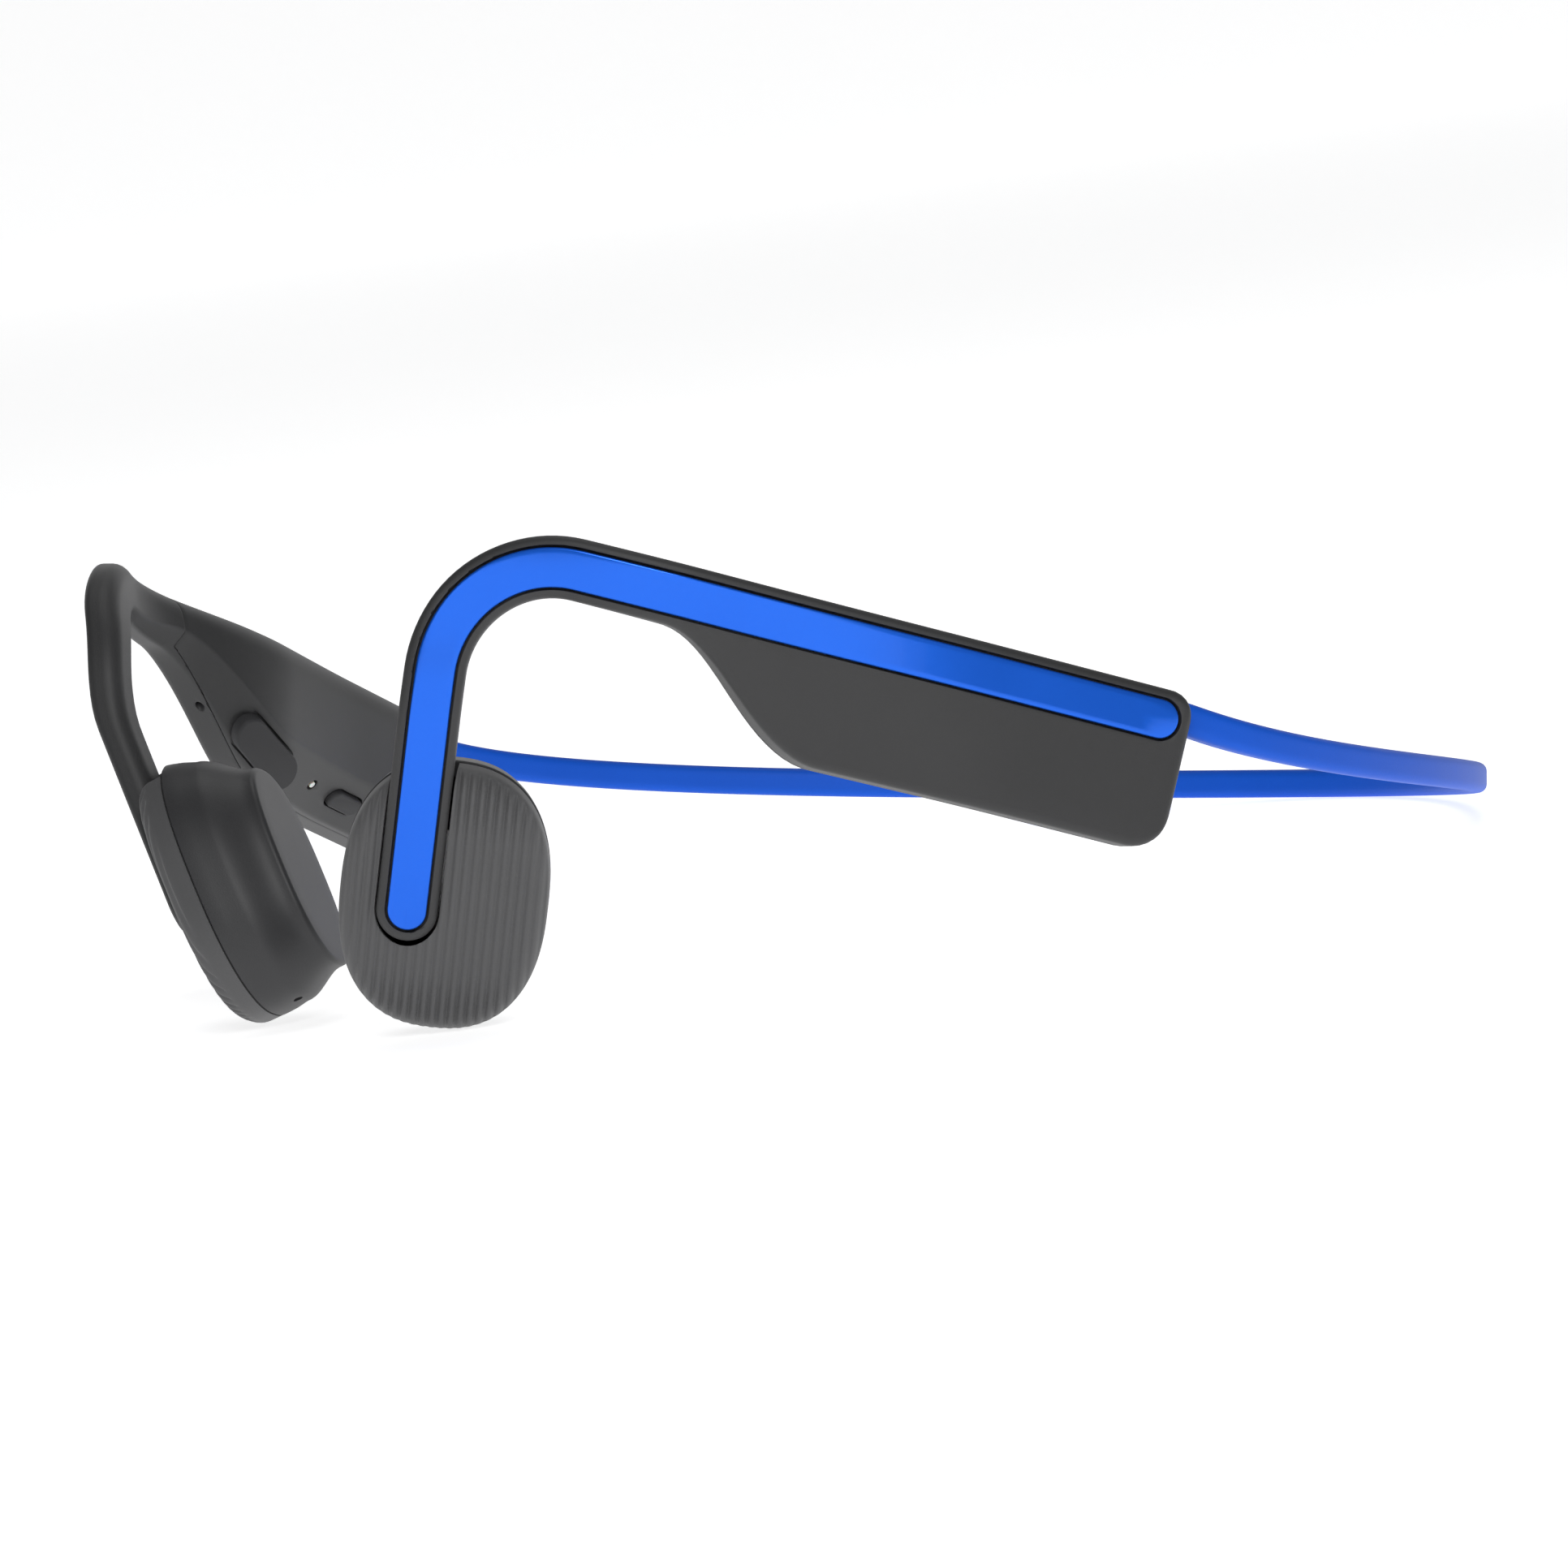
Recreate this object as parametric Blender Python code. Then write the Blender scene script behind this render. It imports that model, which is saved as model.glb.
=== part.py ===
"""Bone conduction headphones with a flexible neckband, resting on a table."""

import math

import bmesh
import bpy
import numpy as np
from mathutils import Matrix, Vector

# Sizes in millimetres and angles in degrees. Left is the wearer's left, +X.
# Wearing position of the hook's lower end, and the plan heading of each unit.
LEG_X = 28.96
LEG_Y = -66.74
HEADING_FRONT = 39.98
HEADING_REAR = 23.9
TURN_START, TURN_END = 10.0, 34.0
LEAN = 24.9
LEAN_TOP = 26.0
LEAN_START, LEAN_END = 12.0, 56.0
HOOK_TUCK = 2.4
TUCK_START, TUCK_END = 4.0, 28.0
TUCK_LOW, TUCK_HIGH = 13.0, 24.0

# Hook and housing, measured along the middle of the trim strip.
LEG_ANGLE = 81.3
LEG_LENGTH = 21.44
LEG_FOOT = (0.30, -3.61)
HOOK_RADIUS = 10.5
REAR_SLOPE = -13.6
HOUSING_RUN = 57.3
EDGE_ABOVE = 2.8
EDGE_BELOW = 2.65
HOUSING_DROP = 11.65
DROP_START, DROP_END = 8.6, 25.6
HOOK_THICK = 3.2
THICKEN_START, THICKEN_END = 0.0, 26.0
HOUSING_THICK = 8.8
SEAM_DEPTH = 3.4
COVER_START = 10.0
WALL = 1.4
CAVITY_TOP = 1.9
CAVITY_START = 12.5
BEVEL_DROP, BEVEL_DEPTH = 4.0, 4.4
HOOK_BEVEL = 1.2
EDGE_ROUND = 0.8
INNER_ROUND, HOUSING_ROUND = 1.5, 3.4
GAP = 0.3

STRIP_WIDTH = 3.5
STRIP_THICK = 0.65
STRIP_SINK = 0.05
STRIP_END = 54.3
CHANNEL_DEPTH = 1.0
WIRE_WIDTH = 0.9
WIRE_DEPTH = 1.5

# Pod, measured in the plane of the hook's leg.
POD_WIDTH = 18.7
POD_HEIGHT = 25.8
POD_CENTRE = (3.45, -4.0)
POD_TILT = 7.0
POD_POWER = 2.42
POD_FACE = 1.0
POD_SKIRT = 3.6
POD_RIM = 4.1
POD_BACK = 12.0
POD_TAPER = 3.2
POD_SAG = 1.1
RIB_PITCH = 0.85
RIB_WIDTH = 0.45
RIB_DEPTH = 0.3
MOTOR_RADIUS = 5.6

# Neckband.
BAND_DEPTH_IN_HOUSING = 4.0
BAND_RISE_ABOVE_STRIP = 0.91
BAND_REACH = 75.0
BAND_LEAD = 18.0
BAND_BACK = 40.0
BAND_LOW = 9.0
BAND_HEIGHT = 2.9
BAND_THICK = 2.0
BAND_THICK_END = 2.9

# Ports and keys of the right housing, as positions along the housing.
PORT_AT = 23.6
PORT_LOWER = 0.2
VOLUME_UP_AT = 42.5
VOLUME_DOWN_AT = 50.0
LIGHT_AT = 35.5
MIC_AT = 16.4

SIDES = {"left": 1.0, "right": -1.0}

for old in list(bpy.data.objects):
    bpy.data.objects.remove(old, do_unlink=True)


def smooth(x):
    x = np.clip(x, 0.0, 1.0)
    return x * x * (3.0 - 2.0 * x)


# ---------------------------------------------------------------- placement
ARC_TURN = math.radians(LEG_ANGLE - REAR_SLOPE)
ARC_LENGTH = HOOK_RADIUS * ARC_TURN
REAR = LEG_LENGTH + ARC_LENGTH  # start of the straight run along the housing


def spine(s):
    """Point and direction angle of the strip's middle line, flattened."""
    leg = math.radians(LEG_ANGLE)
    rear = math.radians(REAR_SLOPE)
    along = np.array([math.cos(leg), math.sin(leg)])
    bend = np.array(LEG_FOOT) + LEG_LENGTH * along
    centre = bend + HOOK_RADIUS * np.array([math.sin(leg), -math.cos(leg)])
    if s < LEG_LENGTH:
        return np.array(LEG_FOOT) + s * along, leg
    if s < REAR:
        angle = leg - (s - LEG_LENGTH) / HOOK_RADIUS
        return centre + HOOK_RADIUS * np.array([-math.sin(angle), math.cos(angle)]), angle
    last = centre + HOOK_RADIUS * np.array([-math.sin(rear), math.cos(rear)])
    return last + (s - REAR) * np.array([math.cos(rear), math.sin(rear)]), rear


GUIDE_U = np.linspace(-40.0, 160.0, 2001)
GUIDE_HEADING = np.radians(
    HEADING_FRONT
    + (HEADING_REAR - HEADING_FRONT)
    * smooth((GUIDE_U - TURN_START) / (TURN_END - TURN_START))
)


def guide_sum(values):
    step = GUIDE_U[1] - GUIDE_U[0]
    total = np.concatenate([[0.0], np.cumsum((values[1:] + values[:-1]) / 2 * step)])
    return total - np.interp(0.0, GUIDE_U, total)


GUIDE_X = LEG_X + guide_sum(np.sin(GUIDE_HEADING))
GUIDE_Y = LEG_Y + guide_sum(np.cos(GUIDE_HEADING))


def worn(u, v, n):
    """Wearing position of a point u along, v up and n outward on the left side."""
    x = np.interp(u, GUIDE_U, GUIDE_X)
    y = np.interp(u, GUIDE_U, GUIDE_Y)
    heading = np.interp(u, GUIDE_U, GUIDE_HEADING)
    lean = 1.0 - float(smooth((u - LEAN_START) / (LEAN_END - LEAN_START)))
    tuck = 1.0 - float(smooth((u - TUCK_START) / (TUCK_END - TUCK_START)))
    tuck *= float(smooth((v - TUCK_LOW) / (TUCK_HIGH - TUCK_LOW)))
    below = LEAN_TOP - v
    below = (below + math.sqrt(below * below + 9.0)) / 2
    out = n - math.tan(math.radians(LEAN)) * lean * below - HOOK_TUCK * tuck
    return np.array([x + math.cos(heading) * out, y - math.sin(heading) * out, v])


def on_hook(point):
    """Wearing position of (along the strip, across it towards the outside, outward)."""
    s, w, n = point
    (u, v), angle = spine(s)
    return worn(u - math.sin(angle) * w, v + math.cos(angle) * w, n)


def pod_axes():
    heading, lean = math.radians(HEADING_FRONT), math.radians(LEAN)
    along = np.array([math.sin(heading), math.cos(heading), 0.0])
    normal = np.array(
        [
            math.cos(heading) * math.cos(lean),
            -math.sin(heading) * math.cos(lean),
            -math.sin(lean),
        ]
    )
    up = np.cross(normal, along)
    if up[2] < 0:
        up = -up
    tilt = math.radians(POD_TILT)
    across = along * math.cos(tilt) - up * math.sin(tilt)
    rise = along * math.sin(tilt) + up * math.cos(tilt)
    # The hook's face is straight only well below its top, so the pod's centre is
    # set from the straight part of the leg.
    centre = worn(POD_CENTRE[0], 0.0, 0.0) + up * POD_CENTRE[1]
    return centre, across, rise, normal


POD_ORIGIN, POD_X, POD_Y, POD_Z = pod_axes()


def on_pod(point):
    x, y, z = point
    return POD_ORIGIN + x * POD_X + y * POD_Y + z * POD_Z


# ---------------------------------------------------------------- mesh tools
def loft(rings, place=None):
    """A closed mesh through rings of points, capped at both ends."""
    bm = bmesh.new()
    rows = [[bm.verts.new(p if place is None else place(p)) for p in ring] for ring in rings]
    size = len(rows[0])
    for low, high in zip(rows, rows[1:]):
        for i in range(size):
            j = (i + 1) % size
            bm.faces.new((low[i], low[j], high[j], high[i]))
    bm.faces.new(rows[0][::-1])
    bm.faces.new(rows[-1])
    bmesh.ops.recalc_face_normals(bm, faces=bm.faces)
    return bm


def tube(outer, inner):
    """A tube through matching outer and inner rings, open at both ends."""
    bm = bmesh.new()
    rows = [[[bm.verts.new(p) for p in ring] for ring in rings] for rings in (outer, inner)]
    size = len(rows[0][0])
    for part in rows:
        for low, high in zip(part, part[1:]):
            for i in range(size):
                j = (i + 1) % size
                bm.faces.new((low[i], low[j], high[j], high[i]))
    for end in (0, -1):
        for i in range(size):
            j = (i + 1) % size
            a, b = rows[0][end], rows[1][end]
            bm.faces.new((a[i], a[j], b[j], b[i]))
    bmesh.ops.recalc_face_normals(bm, faces=bm.faces)
    return bm


def block(low, high):
    """A box between two corners."""
    (x0, y0, z0), (x1, y1, z1) = low, high
    ring = [(y0, z0), (y1, z0), (y1, z1), (y0, z1)]
    return loft([[(x, y, z) for y, z in ring] for x in (x0, x1)])


def turned(centre, radii, heights, sides=20):
    """A round piece about the pod's axis from (radius, height) pairs, capped."""
    rings = []
    for r, z in zip(radii, heights):
        rings.append(
            [
                (
                    centre[0] + r * math.cos(2 * math.pi * k / sides),
                    centre[1] + r * math.sin(2 * math.pi * k / sides),
                    z,
                )
                for k in range(sides)
            ]
        )
    return loft(rings)


def round_ring(centre, inner, outer, low, high, sides=20):
    def ring(r, z):
        return [
            (
                centre[0] + r * math.cos(2 * math.pi * k / sides),
                centre[1] + r * math.sin(2 * math.pi * k / sides),
                z,
            )
            for k in range(sides)
        ]

    return tube([ring(outer, low), ring(outer, high)], [ring(inner, low), ring(inner, high)])


def to_object(bm, name="tool"):
    mesh = bpy.data.meshes.new(name)
    bm.to_mesh(mesh)
    bm.free()
    obj = bpy.data.objects.new(name, mesh)
    bpy.context.scene.collection.objects.link(obj)
    return obj


def combine(base, *steps):
    """The base mesh after Boolean steps given as (operation, mesh) pairs."""
    obj = to_object(base)
    tools = []
    for operation, bm in steps:
        tool = to_object(bm)
        tools.append(tool)
        modifier = obj.modifiers.new(operation.lower(), "BOOLEAN")
        modifier.operation = operation
        modifier.object = tool
        modifier.solver = "EXACT"
    bpy.context.view_layer.update()
    result = bmesh.new()
    result.from_object(obj, bpy.context.evaluated_depsgraph_get())
    for old in tools + [obj]:
        mesh = old.data
        bpy.data.objects.remove(old, do_unlink=True)
        bpy.data.meshes.remove(mesh)
    return result


def moved(bm, place):
    """The mesh with its faces split into triangles and each point placed."""
    bmesh.ops.triangulate(bm, faces=bm.faces, ngon_method="EAR_CLIP")
    for vert in bm.verts:
        vert.co = Vector(place(tuple(vert.co)))
    return bm


MATERIALS = {
    "shell": ((0.052, 0.052, 0.054), 0.55, 0.0),
    "pod": ((0.085, 0.085, 0.087), 0.6, 0.0),
    "gloss_blue": ((0.014, 0.115, 0.68), 0.18, 0.0),
    "satin_blue": ((0.020, 0.115, 0.62), 0.5, 0.0),
    "titanium": ((0.52, 0.51, 0.50), 0.35, 1.0),
    "steel": ((0.62, 0.62, 0.63), 0.3, 1.0),
    "magnet": ((0.40, 0.41, 0.43), 0.25, 1.0),
    "copper": ((0.72, 0.33, 0.16), 0.35, 1.0),
    "board": ((0.02, 0.16, 0.09), 0.5, 0.0),
    "battery": ((0.65, 0.67, 0.70), 0.4, 0.6),
    "rubber": ((0.035, 0.035, 0.037), 0.8, 0.0),
    "diffuser": ((0.80, 0.80, 0.78), 0.4, 0.0),
    "cable": ((0.03, 0.03, 0.03), 0.6, 0.0),
}
for key, (colour, roughness, metallic) in MATERIALS.items():
    material = bpy.data.materials.new(key)
    material.use_nodes = True
    shader = material.node_tree.nodes["Principled BSDF"]
    shader.inputs["Base Color"].default_value = (*colour, 1.0)
    shader.inputs["Roughness"].default_value = roughness
    shader.inputs["Metallic"].default_value = metallic
    material.diffuse_color = (*colour, 1.0)

rest_frame = bpy.data.objects.new("rest_frame", None)
bpy.context.scene.collection.objects.link(rest_frame)
PARTS = []


def finish(name, bm, material, side=1.0, pivot=None, rounded=True):
    """Makes the named piece from a mesh in wearing position, mirrored if side is -1."""
    origin = np.zeros(3) if pivot is None else np.array(pivot) * (side, 1.0, 1.0)
    bmesh.ops.triangulate(bm, faces=bm.faces, ngon_method="EAR_CLIP")
    for vert in bm.verts:
        point = np.array(vert.co) * (side, 1.0, 1.0) - origin
        vert.co = Vector(point * 0.001)
    if side < 0:
        bmesh.ops.reverse_faces(bm, faces=bm.faces)
    mesh = bpy.data.meshes.new(name)
    bm.to_mesh(mesh)
    bm.free()
    if rounded:
        mesh.shade_smooth()
        mesh.set_sharp_from_angle(angle=math.radians(38))
    mesh.materials.append(bpy.data.materials[material])
    obj = bpy.data.objects.new(name, mesh)
    bpy.context.scene.collection.objects.link(obj)
    obj.location = Vector(origin * 0.001)
    obj.parent = rest_frame
    PARTS.append(obj)
    return obj


# ---------------------------------------------------------------- hook and housing
def bar_stations(run_end):
    """Positions along the strip where a bar needs a ring to follow its bends."""
    leg = [2.0, 7.0, 12.0, 15.5, 18.5]
    arc = list(LEG_LENGTH + ARC_LENGTH * np.linspace(0.0, 1.0, 9))
    run = [REAR + k * (DROP_END + 2.0) / 10 for k in range(1, 11)]
    return [s for s in leg + arc + run if s < REAR + run_end - 2.6]


def slot_rings(first, last, half, low, high):
    """Rings of a bar with round ends about the strip's middle line."""
    ends = [math.radians(a) for a in (80, 55, 28, 0)]
    stations = [(first - half * math.sin(a), half * math.cos(a)) for a in ends]
    stations += [
        (s, half) for s in bar_stations(last - REAR + 2.6) if first + 0.5 < s < last - 0.5
    ]
    stations += [(last + half * math.sin(a), half * math.cos(a)) for a in ends[::-1]]
    return [[(s, w, high), (s, w, low), (s, -w, low), (s, -w, high)] for s, w in stations]


def body_size(s):
    """Distance below the strip's middle line, and thickness, at a station."""
    run = s - REAR
    drop = EDGE_BELOW + (HOUSING_DROP - EDGE_BELOW) * float(
        smooth((run - DROP_START) / (DROP_END - DROP_START))
    )
    grow = float(smooth((run - THICKEN_START) / (THICKEN_END - THICKEN_START)))
    return drop, HOOK_THICK + (HOUSING_THICK - HOOK_THICK) * grow, grow


def bevel_size(grow):
    """Height and depth of the lower inner bevel, from hook to housing."""
    return (
        HOOK_BEVEL + (BEVEL_DROP - HOOK_BEVEL) * grow,
        HOOK_BEVEL + (BEVEL_DEPTH - HOOK_BEVEL) * grow,
    )


def body_ring(s, shrink=0.0, inset=0.0):
    drop, thick, grow = body_size(s)
    top, low = EDGE_ABOVE - shrink, -drop + shrink
    edge = EDGE_ROUND
    inner = INNER_ROUND + (HOUSING_ROUND - INNER_ROUND) * grow
    bevel_w, bevel_n = bevel_size(grow)
    out, back = -inset, -thick + inset
    return [
        (s, top - edge, out),
        (s, top - 0.3 * edge, out - 0.3 * edge),
        (s, top, out - edge),
        (s, top, back + inner),
        (s, top - 0.3 * inner, back + 0.3 * inner),
        (s, top - inner, back),
        (s, low + bevel_w + 0.3, back),
        (s, low + bevel_w - 0.3, back + 0.2),
        (s, low + 0.2, back + bevel_n - 0.3),
        (s, low, back + bevel_n + 0.3),
        (s, low, out - edge),
        (s, low + 0.3 * edge, out - 0.3 * edge),
        (s, low + edge, out),
    ]


def body():
    """The whole hook and housing as one bar, straightened along the strip."""
    rings = []
    for a in (78, 52, 26):
        a = math.radians(a)
        half = (EDGE_ABOVE + EDGE_BELOW) / 2
        shrink = half * (1 - math.cos(a))
        rings.append(body_ring(-half * math.sin(a), shrink, 0.5 * (1 - math.cos(a))))
    rings += [body_ring(s) for s in [0.0] + bar_stations(HOUSING_RUN)]
    corner = 2.2
    for a in (0, 30, 60, 85):
        a = math.radians(a)
        s = REAR + HOUSING_RUN - corner * (1 - math.sin(a))
        rings.append(body_ring(s, corner * (1 - math.cos(a)), 0.6 * (1 - math.cos(a))))
    return loft(rings)


def cavity():
    """The hollow inside the housing, straightened along the strip."""
    rings = []
    stations = [s for s in bar_stations(HOUSING_RUN) if s > REAR + CAVITY_START + 1.0]
    for s in [REAR + CAVITY_START] + stations + [REAR + HOUSING_RUN - WALL]:
        drop, thick, grow = body_size(s)
        bevel_w, bevel_n = bevel_size(grow)
        slope = math.hypot(bevel_w, bevel_n)
        top, low, back = EDGE_ABOVE - WALL, -drop + WALL, -thick + WALL
        across = -drop + bevel_w + WALL * (slope - bevel_w) / bevel_n
        down = -thick + bevel_n + WALL * (slope - bevel_n) / bevel_w
        rings.append(
            [
                (s, top, -CAVITY_TOP),
                (s, top, back + 0.8),
                (s, top - 0.8, back),
                (s, across, back),
                (s, low, down),
                (s, low, -CAVITY_TOP),
            ]
        )
    return loft(rings)


def slab(first, last, low, high):
    """A wide layer between two depths, with a ring at every station it spans."""
    inside = [s for s in bar_stations(HOUSING_RUN + 9.0) if first + 0.2 < s < last - 0.2]
    return loft(
        [
            [(s, 30.0, high), (s, 30.0, low), (s, -30.0, low), (s, -30.0, high)]
            for s in [first] + inside + [last]
        ]
    )


# Bevel of the housing's lower inner edge, where the port and the keys sit.
BEVEL = math.hypot(BEVEL_DROP, BEVEL_DEPTH)
BEVEL_IN = np.array([0.0, BEVEL_DEPTH / BEVEL, BEVEL_DROP / BEVEL])
BEVEL_ACROSS = np.array([0.0, BEVEL_DROP / BEVEL, -BEVEL_DEPTH / BEVEL])


def bevel_middle(run):
    """The middle of the bevel at a place along the housing, as a bar position."""
    drop, thick, grow = body_size(REAR + run)
    bevel_w, bevel_n = bevel_size(grow)
    return np.array([REAR + run, bevel_w / 2 - drop, bevel_n / 2 - thick])


def underside_middle(run):
    """The middle of the outer shell's underside at a place along the housing."""
    drop, _, _ = body_size(REAR + run)
    return np.array([REAR + run, -drop, -SEAM_DEPTH + 1.0])


def flat_on(middle, at, across, inward):
    """Places (along, across, inward) flat on a flank of the bar at one station."""
    origin = middle(at)
    along = (middle(at + 1.0) - middle(at - 1.0)) / 2
    return lambda point: origin + (point[0] - at) * along + point[1] * across + point[2] * inward


def on_bevel(at, lower=0.0):
    place = flat_on(bevel_middle, at, BEVEL_ACROSS, BEVEL_IN)
    return lambda point: place((point[0], point[1] - lower, point[2]))


def on_underside(at):
    return flat_on(underside_middle, at, np.array([0.0, 0.0, -1.0]), np.array([0.0, 1.0, 0.0]))


def flank_block(place, at, low, high):
    """A box on a flank between two corners, given from the station it sits at."""
    (x0, y0, z0), (x1, y1, z1) = low, high
    return moved(block((at + x0, y0, z0), (at + x1, y1, z1)), place)


def oval(place, at, length, height, low, high):
    """A flat oval on a flank, used for the port, its cover, the keys and small holes."""
    rings = []
    for d in (low, high):
        ring = []
        for k in range(12):
            a = 2 * math.pi * (k + 0.5) / 12
            x = (length - height) / 2 * (1 if math.cos(a) > 0 else -1)
            ring.append((at + x + height / 2 * math.cos(a), height / 2 * math.sin(a), d))
        rings.append(ring)
    return loft(rings, place)


PORT_LENGTH, PORT_HEIGHT = 8.9, 3.1
COVER_LENGTH, COVER_HEIGHT, COVER_THICK = 10.6, 4.2, 0.6
KEY_LENGTH, KEY_HEIGHT = 5.6, 2.0
MIC_HOLE = 0.9


def housing_cuts(part, side):
    """Holes through the housing wall: the band's socket, and the right side's ports."""
    half_t, half_h = BAND_THICK_END / 2 + GAP, BAND_HEIGHT / 2 + GAP
    cuts = [
        block(
            (REAR + HOUSING_RUN - WALL - 2.0, BAND_RISE_ABOVE_STRIP - half_h,
             -BAND_DEPTH_IN_HOUSING - half_t),
            (REAR + HOUSING_RUN + 2.0, BAND_RISE_ABOVE_STRIP + half_h,
             -BAND_DEPTH_IN_HOUSING + half_t),
        )
    ]
    if side < 0 and part == "inner":
        port = on_bevel(PORT_AT, PORT_LOWER)
        cuts.append(oval(port, PORT_AT, COVER_LENGTH + 2 * GAP, COVER_HEIGHT + 2 * GAP,
                         -1.0, COVER_THICK + GAP))
        cuts.append(oval(port, PORT_AT, PORT_LENGTH + 2 * GAP, PORT_HEIGHT + 2 * GAP, -1.0, 2.6))
        for at in (VOLUME_UP_AT, VOLUME_DOWN_AT):
            cuts.append(oval(on_bevel(at), at, KEY_LENGTH + 2 * GAP, KEY_HEIGHT + 2 * GAP,
                             -1.0, 2.6))
        cuts.append(oval(on_bevel(LIGHT_AT), LIGHT_AT, 1.3, 1.2999, -1.0, 2.6))
    if side < 0 and part == "outer":
        cuts.append(oval(on_underside(MIC_AT), MIC_AT, MIC_HOLE + 0.001, MIC_HOLE, -1.0, 2.2))
    return [("DIFFERENCE", bm) for bm in cuts]


for label, side in SIDES.items():
    channel = loft(slot_rings(0.0, REAR + STRIP_END, STRIP_WIDTH / 2 + GAP, -CHANNEL_DEPTH, 2.0))
    groove = loft(
        slot_rings(2.2, REAR + CAVITY_START + 1.6, WIRE_WIDTH / 2 + GAP,
                   -WIRE_DEPTH - WIRE_WIDTH / 2 - GAP, -CHANNEL_DEPTH + 0.3)
    )
    far = REAR + HOUSING_RUN + 4.0
    outer = combine(
        body(),
        ("DIFFERENCE", slab(REAR + COVER_START, far, -30.0, -SEAM_DEPTH)),
        ("DIFFERENCE", cavity()),
        ("DIFFERENCE", channel),
        ("DIFFERENCE", groove),
        *housing_cuts("outer", side),
    )
    finish(label + "_outer_shell", moved(outer, on_hook), "shell", side)
    inner = combine(
        body(),
        ("INTERSECT", slab(REAR + COVER_START + GAP, far, -30.0, -SEAM_DEPTH - GAP)),
        ("DIFFERENCE", cavity()),
        *housing_cuts("inner", side),
    )
    finish(label + "_inner_shell", moved(inner, on_hook), "shell", side)
    strip = loft(
        slot_rings(0.0, REAR + STRIP_END, STRIP_WIDTH / 2, -STRIP_SINK - STRIP_THICK, -STRIP_SINK)
    )
    finish(label + "_trim_strip", moved(strip, on_hook), "gloss_blue", side)
    wire = slot_rings(3.2, REAR + CAVITY_START, WIRE_WIDTH / 2,
                      -WIRE_DEPTH - WIRE_WIDTH / 2, -WIRE_DEPTH + WIRE_WIDTH / 2)
    finish(label + "_hook_wire", moved(loft(wire), on_hook), "titanium", side)


# ---------------------------------------------------------------- pods
def pod_ring(z, inset, points=36):
    """The pod's outline at one depth, drawn in by an inset; it sags towards the head."""
    ring = []
    sag = POD_SAG * max(0.0, -POD_RIM - z) / (POD_BACK - POD_RIM)
    for k in range(points):
        a = 2 * math.pi * (k + 0.5) / points
        c, s = math.cos(a), math.sin(a)
        ring.append(
            (
                (POD_WIDTH / 2 - inset) * math.copysign(abs(c) ** (2 / POD_POWER), c),
                (POD_HEIGHT / 2 - inset) * math.copysign(abs(s) ** (2 / POD_POWER), s) - sag,
                z,
            )
        )
    return ring


def leg_room(clearance, low, high):
    """The space that the hook's leg takes in the pod, in wearing position."""
    half = (EDGE_ABOVE + EDGE_BELOW) / 2 + clearance
    mid = (EDGE_ABOVE - EDGE_BELOW) / 2
    rings = []
    for a in (80, 52, 26, 0):
        a = math.radians(a)
        rings.append((-half * math.sin(a), half * math.cos(a)))
    rings.append((16.0, half))
    return loft(
        [
            [(s, mid + w, high), (s, mid + w, low), (s, mid - w, low), (s, mid - w, high)]
            for s, w in rings
        ],
        on_hook,
    )


def rib_grooves():
    """The grooves between the cap's ribs."""
    bm = bmesh.new()
    count = int(POD_WIDTH / 2 / RIB_PITCH)
    for k in range(-count, count + 1):
        x = k * RIB_PITCH
        half, z = RIB_WIDTH / 2, -POD_FACE
        ends = []
        for y in (-POD_HEIGHT, POD_HEIGHT):
            ends.append(
                [
                    bm.verts.new(p)
                    for p in (
                        (x - 2 * half, y, z + RIB_DEPTH),
                        (x + 2 * half, y, z + RIB_DEPTH),
                        (x, y, z - RIB_DEPTH),
                    )
                ]
            )
        a, b = ends
        for i in range(3):
            j = (i + 1) % 3
            bm.faces.new((a[i], a[j], b[j], b[i]))
        bm.faces.new(a[::-1])
        bm.faces.new(b)
    bmesh.ops.recalc_face_normals(bm, faces=bm.faces)
    return bm


def pod_piece(bm):
    return moved(bm, on_pod)


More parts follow.
